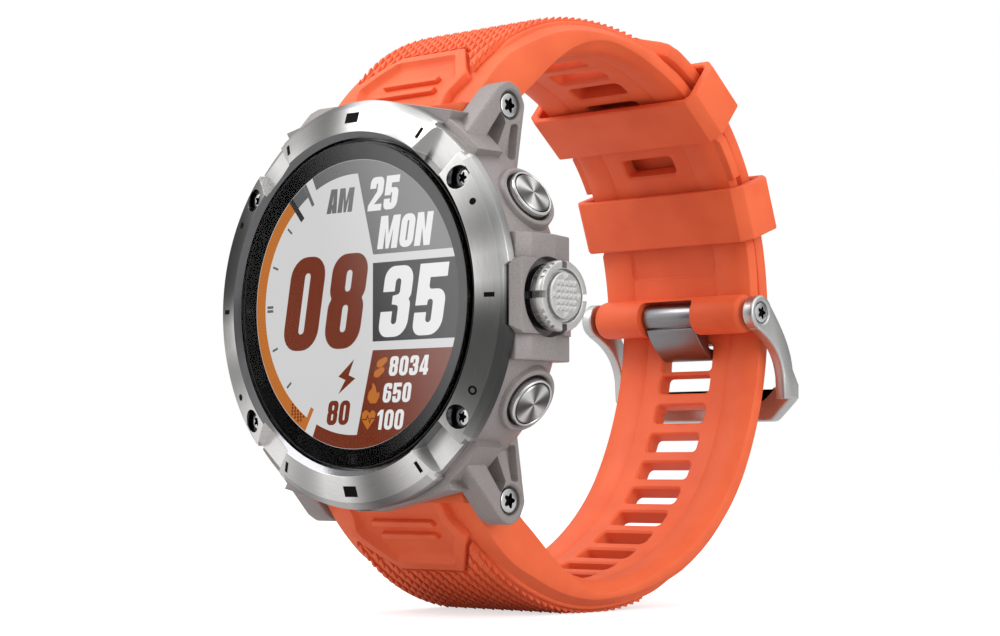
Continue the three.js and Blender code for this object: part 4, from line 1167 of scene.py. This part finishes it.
# ---------------- strap paths
class ArcPath:
    """A path of tangent arcs in the (depth, z) plane, each (radius, turn in degrees)."""

    def __init__(self, start, heading, arcs):
        self.stretches = []
        y, z = start
        angle = radians(heading)
        for radius, turn in arcs:
            side = 1 if turn > 0 else -1
            centre = (y - side * radius * sin(angle), z + side * radius * cos(angle))
            self.stretches.append((radius, side, centre, angle, radius * radians(abs(turn))))
            angle += radians(turn)
            y = centre[0] + side * radius * sin(angle)
            z = centre[1] - side * radius * cos(angle)
        self.length = self.before(len(arcs))

    def before(self, count):
        return sum(stretch[4] for stretch in self.stretches[:count])

    def at(self, s):
        for stretch in self.stretches:
            if s <= stretch[4] or stretch is self.stretches[-1]:
                break
            s -= stretch[4]
        radius, side, centre, angle, _ = stretch
        heading = angle + side * s / radius
        return centre[0] + side * radius * sin(heading), centre[1] - side * radius * cos(heading), heading

    def beside(self, s, distance):
        y, z, heading = self.at(s)
        return y - distance * sin(heading), z + distance * cos(heading)

    def frame(self, s, lift=0.0):
        """Axes at a place on the path: Y runs along it and Z stands off it."""
        heading = self.at(s)[2]
        return Matrix.Translation((0, *self.beside(s, lift))) @ Matrix.Rotation(heading, 4, "X")


STRAP_THICKNESS = 2.7
STACK = STRAP_THICKNESS + 0.25
SLOT_PITCH = 4.7
SLOT_SIZE = (8.8, 2.7)
PIN = (64.1, 1.4)
BAR_CLEARANCE_R = 1.15
TIP_OVERLAP = 4.5
KEEPER_LIFT = 0.015
KEEPER_RADIUS = 31.1
KEEPER_TURN = 58.7
FLAT_RADIUS = 43.2
BUCKLE_PATH = ArcPath((10.5, 27.6), 49, [
    (27.6, -43.4), (FLAT_RADIUS, -15.6), (KEEPER_RADIUS, -KEEPER_TURN), (FLAT_RADIUS, -21.3),
])
KEEPER_ARC_START = BUCKLE_PATH.before(2)
FREE_KEEPER_S = KEEPER_ARC_START + 16
FIXED_KEEPER_S = BUCKLE_PATH.before(3) + 1.2
TIP_S = KEEPER_ARC_START + TIP_OVERLAP
HOLE_PATH = ArcPath(BUCKLE_PATH.beside(TIP_S, STACK), degrees(BUCKLE_PATH.at(TIP_S)[2]), [
    (KEEPER_RADIUS + STACK, degrees(TIP_OVERLAP / KEEPER_RADIUS) - KEEPER_TURN), (FLAT_RADIUS + STACK, -21.3),
    (45.5, -28.9), (31.4, -39.4), (43.5, -21), (29, -49.7),
])
FIRST_SLOT_S = HOLE_PATH.before(2) + 5.5


def eased(value, stops):
    """A smooth value between (place, value) stops."""
    if value <= stops[0][0]:
        return stops[0][1]
    for (a, low), (b, high) in zip(stops, stops[1:]):
        if value <= b:
            t = (value - a) / (b - a)
            return low + (high - low) * t * t * (3 - 2 * t)
    return stops[-1][1]


# ---------------- strap sections
# Each list gives a height or a width against the distance from the lug, in millimetres.
EDGE_TOP = [(-4, 0.0), (4.5, -0.1), (12, -0.7), (46, -0.45), (60, -0.15)]
EDGE_FOOT = [(-4, -5.6), (5.6, -5.6), (28, -1.6), (40, -2.1), (60, -2.1)]
WALL_X = [(-4, 9.6), (1, 10.0), (9, 11.3), (14, 11.6), (40, 11.6), (46, 12.0)]
WALL_TOP = [(-4, 0.1), (5, 0.15), (9, 0.6), (36, 0.6), (44, 0.0)]
WALL_FOOT = [(-4, 0.0), (5, 0.05), (10, 0.02), (40, 0.02), (46, -0.03)]
INNER = [(-4, -5.6), (4, -5.2), (33, -2.45)]
SIDE_BAND = 0.25


def section(t, half):
    """The strap's outline across its width, at a distance t from its lug."""
    wall = min(eased(t, WALL_X), half - 0.7)
    top = eased(t, WALL_TOP)
    foot = eased(t, WALL_FOOT)
    edge = eased(t, EDGE_TOP)
    lower = eased(t, EDGE_FOOT)
    inner = eased(t, INNER)
    swell = inner - SIDE_BAND * eased(t, [(10, 0), (24, 1)])
    right = [
        (wall - 0.3, top), (wall - 0.1, top - 0.04), (wall, top - 0.12), (wall + 0.1, foot + 0.08),
        (wall + 0.3, foot), (half - 0.35, edge + 0.04), (half - 0.1, edge - 0.06), (half, edge - 0.25),
        (half, lower + 0.3), (half - 0.12, lower + 0.08), (half - 0.4, lower - 0.05),
        (half - 1.1, lower * 0.45 + swell * 0.55 - 0.05), (half - 2.0, swell + 0.03), (9.6, swell),
        (8.4, swell + 0.04), (7.5, inner - 0.02), (7.3, inner + 0.06), (7.1, inner),
    ]
    return both_sides(right)


def strap_body(path, place_of, start, end, half_at, step=0.7):
    """A strap from start to end, both measured from its lug. place_of gives path lengths."""
    count = round((end - start) / step)
    places = [start + (end - start) * i / count for i in range(count + 1)]
    return loft([[(x, *path.beside(place_of(t), h)) for x, h in section(t, half_at(t))] for t in places])


def bend(piece, path, place_of, step=1.0):
    """Takes a piece drawn flat, as (across, distance from the lug, height), on to its path."""
    bm = bmesh.new()
    bm.from_mesh(piece.data)
    places = [v.co.y for v in bm.verts]
    low, high = min(places), max(places)
    for i in range(1, int((high - low) / step)):
        everything = bm.verts[:] + bm.edges[:] + bm.faces[:]
        bmesh.ops.bisect_plane(bm, geom=everything, plane_co=(0, low + i * step, 0), plane_no=(0, 1, 0))
    for vertex in bm.verts:
        x, t, h = vertex.co
        vertex.co = (x, *path.beside(place_of(t), h))
    if place_of(1) < place_of(0):
        bmesh.ops.reverse_faces(bm, faces=bm.faces)
    bm.to_mesh(piece.data)
    bm.free()
    return piece


def slot_cutter(path, s, inner, extra=0.0):
    """A slot with rounded corners, whose rims open out a little on both faces."""
    width, length = SLOT_SIZE
    outline = rectangle(-width / 2, width / 2, -length / 2, length / 2 + extra, 0.65)
    under = [(inner - 3, -0.28), (inner - 0.03, -0.28), (inner + 0.22, 0.0)]
    over = [(-0.22, 0.0), (0.03, -0.25), (3, -0.25)]
    return moved(stepped(outline, under + over), path.frame(s))


# ---------------- the panel and the scales
PANEL = both_sides([(5.5, 6.4), (10.1, 0.4), (8.8, -2.8), (8.8, -5.4)])
BASIN = both_sides([(5.0, 4.9), (8.5, -0.1), (7.5, -2.4), (7.5, -7.5)])
COLUMN_WIDTH = 1.65
SCALE_PITCH = 1.3
SCALE_SKEW = 0.45
UNCUT = 50
SCALES_START = -6
SCALES_END = 39.0


def build_panel(path, place_of):
    """The raised frame next to the case, its basin and the two ribs in it."""
    plate = prism(rounded(PANEL, 0.4), -2.0, 1.25, "Z", 0.22)
    levels = ((0.2, 0.8), (0.32, 0.55), (0.7, 0.22), (1.1, 0.03), (1.3, -0.1), (3, -0.1))
    cut(plate, stepped(rounded(BASIN, 0.9), levels))
    for t, half in ((0.7, 4.8), (-1.3, 5.3)):
        rib = [(-half, t - 0.4), (half - 0.3, t - 0.4), (half, t + 0.4), (-half - 0.3, t + 0.4)]
        join(plate, prism(rounded(rib, 0.12), 0.1, 0.85, "Z", 0.12))
    return bend(plate, path, place_of)


def scale_cell(x, t):
    """One scale: a slanting parallelogram that rises to a blunt corner at its far right."""
    gap = 0.02
    base = -0.4
    right = x + COLUMN_WIDTH - gap
    reach = SCALE_PITCH - gap
    foot = [(x, t), (right, t + SCALE_SKEW), (right, t + SCALE_SKEW + reach), (x, t + reach)]
    tops = (0.0, 0.25, 0.8, 0.3)
    vertices = [(a, b, base) for a, b in foot] + [(a, b, h) for (a, b), h in zip(foot, tops)]
    faces = [(3, 2, 1, 0), (0, 1, 5, 4), (1, 2, 6, 5), (2, 3, 7, 6), (3, 0, 4, 7), (4, 5, 6), (4, 6, 7)]
    return vertices, faces


def build_scales(path, place_of):
    """The field of scales round the panel, in columns along the strap."""
    vertices = []
    faces = []
    for i in range(-7, 7):
        for j in range(round((SCALES_END - SCALES_START) / SCALE_PITCH)):
            corners, sides = scale_cell((i + 0.02) * COLUMN_WIDTH, SCALES_START + j * SCALE_PITCH)
            faces += [tuple(len(vertices) + k for k in side) for side in sides]
            vertices += corners
    field = raw_object("scales", vertices, faces)
    right = [(5.7, 6.9), (9.9, 1.6), (10.6, 9), (11.0, 14), (11.0, SCALES_END - 4), (8.5, SCALES_END)]
    combine(field, "INTERSECT", [prism(both_sides(right), -2, 3, "Z")])
    moved(field, Matrix.Translation((0, 0, eased(20, WALL_TOP))))
    return bend(field, path, place_of, UNCUT)


def strap_root(sz):
    """The rounded end round a lug bar, with the nose that fills the gap to the case."""
    axis = (BAR_DEPTH, sz * BAR_Z)
    nose = rod(4.6, -12.95, 12.95, "X", axis, 0.35, MEDIUM)
    combine(nose, "INTERSECT", [block(-20, 20, 5.5, 11.5, *sorted((sz * 20.8, sz * 24.3)))])
    return join(nose, rod(2.35, -12.95, 12.95, "X", axis, 0.2, MEDIUM))


def strap_start(path, place_of, sz, half_at):
    """The stretch in front of the lug bar, as far as it clears the case when the strap swings."""
    start = strap_body(path, place_of, -5.8, 1.0, half_at, 0.45)
    return combine(start, "INTERSECT", [rod(4.75, -20, 20, "X", (BAR_DEPTH, sz * BAR_Z), 0, MEDIUM)])


# ---------------- straps
def thumb_wing(sx, path):
    """The ridge along one edge of the buckle's strap, between the two keepers."""
    top = FREE_KEEPER_S + 4.4
    foot = FIXED_KEEPER_S - 5.0
    corners = [(11.5, top), (12.5, top), (13.35, top + 1.5), (13.35, foot), (11.5, foot)]
    outline = rounded([(sx * x, t) for x, t in corners], 0.25)
    return bend(prism(outline, -2.0, -0.35, "Z", 0.15), path, lambda t: t)


def buckle_strap_end(strap):
    """The barrel round the buckle's pin, the hollow above it and the tongue's mouth."""
    join(strap, rod(2.7, -12.95, 12.95, "X", PIN, 0.9, MEDIUM))
    recess = rectangle(-7.2, 7.2, -3.0, 3.2, 0.8)
    hollow = stepped(recess, [(-6, -0.3), (-2.45, -0.3), (-2.15, 0.0)])
    cut(strap, moved(hollow, BUCKLE_PATH.frame(FIXED_KEEPER_S + 5.4)))
    mouth = prism(rectangle(-4.7, 4.7, PIN[1] - 4, PIN[1] + 2.2, 0.8), PIN[0] - 6, PIN[0] + 6, "Y")
    cut(strap, mouth, rod(1.0, -20, 20, "X", PIN))


def build_strap(name, path, place_of, sz, widths, start, end, slots):
    """A strap half: its body, root, panel and scales, then its slots as (place, extra length)."""
    def half_at(t):
        return eased(t, widths)

    strap = strap_body(path, place_of, start, end, half_at)
    join(strap, strap_root(sz), strap_start(path, place_of, sz, half_at), build_panel(path, place_of))
    join(strap, build_scales(path, place_of))
    if sz > 0:
        join(strap, *[thumb_wing(sx, path) for sx in (1, -1)])
        buckle_strap_end(strap)
    for s, extra in slots:
        cut(strap, slot_cutter(path, s, eased(place_of(s), INNER), extra))
    cut(strap, rod(BAR_CLEARANCE_R, -20, 20, "X", (BAR_DEPTH, sz * BAR_Z)))
    finish(strap, f"strap_{name}_side", LOOKS["silicone"], "band", [f"{name}_strap"], 32)


def build_straps():
    below = FIXED_KEEPER_S + 4.0
    length = BUCKLE_PATH.length
    widths = [(12, 13.0), (40, 12.45), (below, 12.4), (below + 0.6, 13.1), (length - 1, 12.95)]
    slots = [FREE_KEEPER_S + 8.4] + [FREE_KEEPER_S - 2.9 - i * SLOT_PITCH for i in range(4)]
    build_strap("buckle", BUCKLE_PATH, lambda t: t, 1, widths, 0, length + 0.6, [(s, 0.0) for s in slots])
    length = HOLE_PATH.length
    widths = [(12, 13.0), (40, 12.45), (length - 4.5, 12.4), (length - 3.0, 12.1), (length, 8.5)]
    slots = [(FIRST_SLOT_S + i * SLOT_PITCH, 1.2 if i == 0 else 0.0) for i in range(-5, 11)]
    build_strap("hole", HOLE_PATH, lambda t: HOLE_PATH.length - t, -1, widths, 0, length, slots)


# ---------------- keepers
def keeper_outline(half_width, half_height, chamfer):
    corners = [(half_width - chamfer, -half_height), (half_width, -half_height + chamfer),
               (half_width, half_height - chamfer), (half_width - chamfer, half_height)]
    return rounded(both_sides(corners), 0.3)


def build_keepers():
    opening = keeper_outline(13.5, 3.2, 0.5)
    levels = ((-5, -0.25), (-3.8, -0.25), (-3.55, 0.0), (3.55, 0.0), (3.8, -0.25), (5, -0.25))
    for name, s, body in (("free", FREE_KEEPER_S, "free_keeper"), ("fixed", FIXED_KEEPER_S, "band")):
        keeper = prism(keeper_outline(15.0, 4.2, 1.4), -3.8, 3.8, "Y", 0.3, 4)
        cut(keeper, loft([[(x, y, h) for x, h in inset(opening, d)] for y, d in levels]))
        moved(keeper, BUCKLE_PATH.frame(s, KEEPER_LIFT))
        finish(keeper, f"{name}_loop", LOOKS["silicone"], body, [f"{name}_keeper"], 32)


# ---------------- buckle
ARM_X = (13.7, 15.4)


def curve(p0, p1, p2, p3, count=14):
    """A cubic curve between two points with two handles, without its first point."""
    points = []
    for i in range(1, count + 1):
        t = i / count
        weights = ((1 - t) ** 3, 3 * t * (1 - t) ** 2, 3 * t * t * (1 - t), t ** 3)
        points.append(tuple(sum(w * p[k] for w, p in zip(weights, (p0, p1, p2, p3))) for k in (0, 1)))
    return points


def buckle_arm(sx):
    """One side of the buckle's frame, with its eye round the pin and the screw's counterbore."""
    start = (PIN[0] + 1.2, PIN[1] + 2.1)
    knee = (71.4, -6.2)
    back = (69.2, -7.4)
    outline = [start] + curve(start, (67.6, 0.9), (70.9, -2.4), knee)
    outline += [(72.8, -8.4), (72.8, -10.4), (69.4, -10.4), back]
    outline += curve(back, (68.6, -4), (66.4, -2.2), (63.2, -0.9))
    arm = prism(outline, *ARM_X, "X", 0.3)
    join(arm, lathe([(0, 13.7), (2.4, 13.7, 0.2), (2.4, 15.4, 0.35), (0, 15.4)], "X", PIN, MEDIUM))
    cut(arm, lathe([(0, 12), (0.95, 12), (0.95, 14.75), (1.55, 14.75), (1.55, 15.2), (1.75, 15.42),
                    (1.75, 17), (0, 17)], "X", PIN, SMALL))
    return to_corner(arm, sx)


def build_buckle():
    right = [(12, -13.5, 1.5), (15.4, -10.4, 1.2), (15.4, -8.6, 0.2), (12.4, -8.6, 0.2), (10.6, -10.2, 1.0)]
    bar = prism(rounded(both_sides(right)), 70.7, 72.8, "Y", 0.4, 4)
    join(bar, *[buckle_arm(sx) for _, sx in HANDS])
    finish(bar, "buckle_bow", LOOKS["satin"], "buckle", ["buckle_frame"], 35)
    for hand, sx in HANDS:
        design = (1.4, 15.3, "X", PIN, 1, 0.45)
        finish_screw(f"pin_screw_{hand}", design, "buckle", f"buckle_screw_{hand}", sx)


def build_tongue():
    start = (PIN[0] + 1.8, PIN[1] - 0.3)
    heel = (66.9, -3.1)
    toe = (68.3, -4.75)
    blade = [start] + curve(start, (66.5, -0.8), (66, -2.4), heel)
    blade += [(69.3, -3.4), (69.1, -4.1), toe]
    blade += curve(toe, (67.4, -5), (65.1, -4), (62.9, -0.4))
    tongue = prism(blade, -4.3, 4.3, "X", 0.2)
    join(tongue, rod(1.9, -4.3, 4.3, "X", PIN, 0.2, MEDIUM))
    cut(tongue, rod(0.95, -10, 10, "X", PIN))
    finish(tongue, "buckle_prong", LOOKS["dark_steel"], "tongue", ["buckle_tongue"], 35)


# ---------------- carried-over CAD pieces
CARRIED = {
    "black_rubber": ["lens_gasket", "back_gasket", "crown_seal", "upper_button_seal", "lower_button_seal"],
    "black_plastic": ["inner_frame", "display_module", "crown_switch", "upper_button_switch",
                      "lower_button_switch"],
    "circuit_board": ["main_board", "sensor_board"],
    "foil": ["antenna_ring", "battery"],
    "polished_steel": ["vibration_motor", "crown_stem", "upper_lug_bar", "lower_lug_bar", "buckle_pin"],
    "dark_steel": ["crown_tube", "upper_button_stem", "lower_button_stem"],
}


def dress_carried_pieces():
    for look, names in CARRIED.items():
        for name in names:
            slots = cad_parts[name].data.materials
            slots.clear()
            slots.append(LOOKS[look])


# ---------------- the whole watch
build_case()
build_bezel()
build_marks()
build_lens()
build_display()
build_lug_screws()
build_crown_ring()
build_crown_face()
build_buttons()
build_back()
build_straps()
build_keepers()
build_buckle()
build_tongue()
dress_carried_pieces()
build_studio()
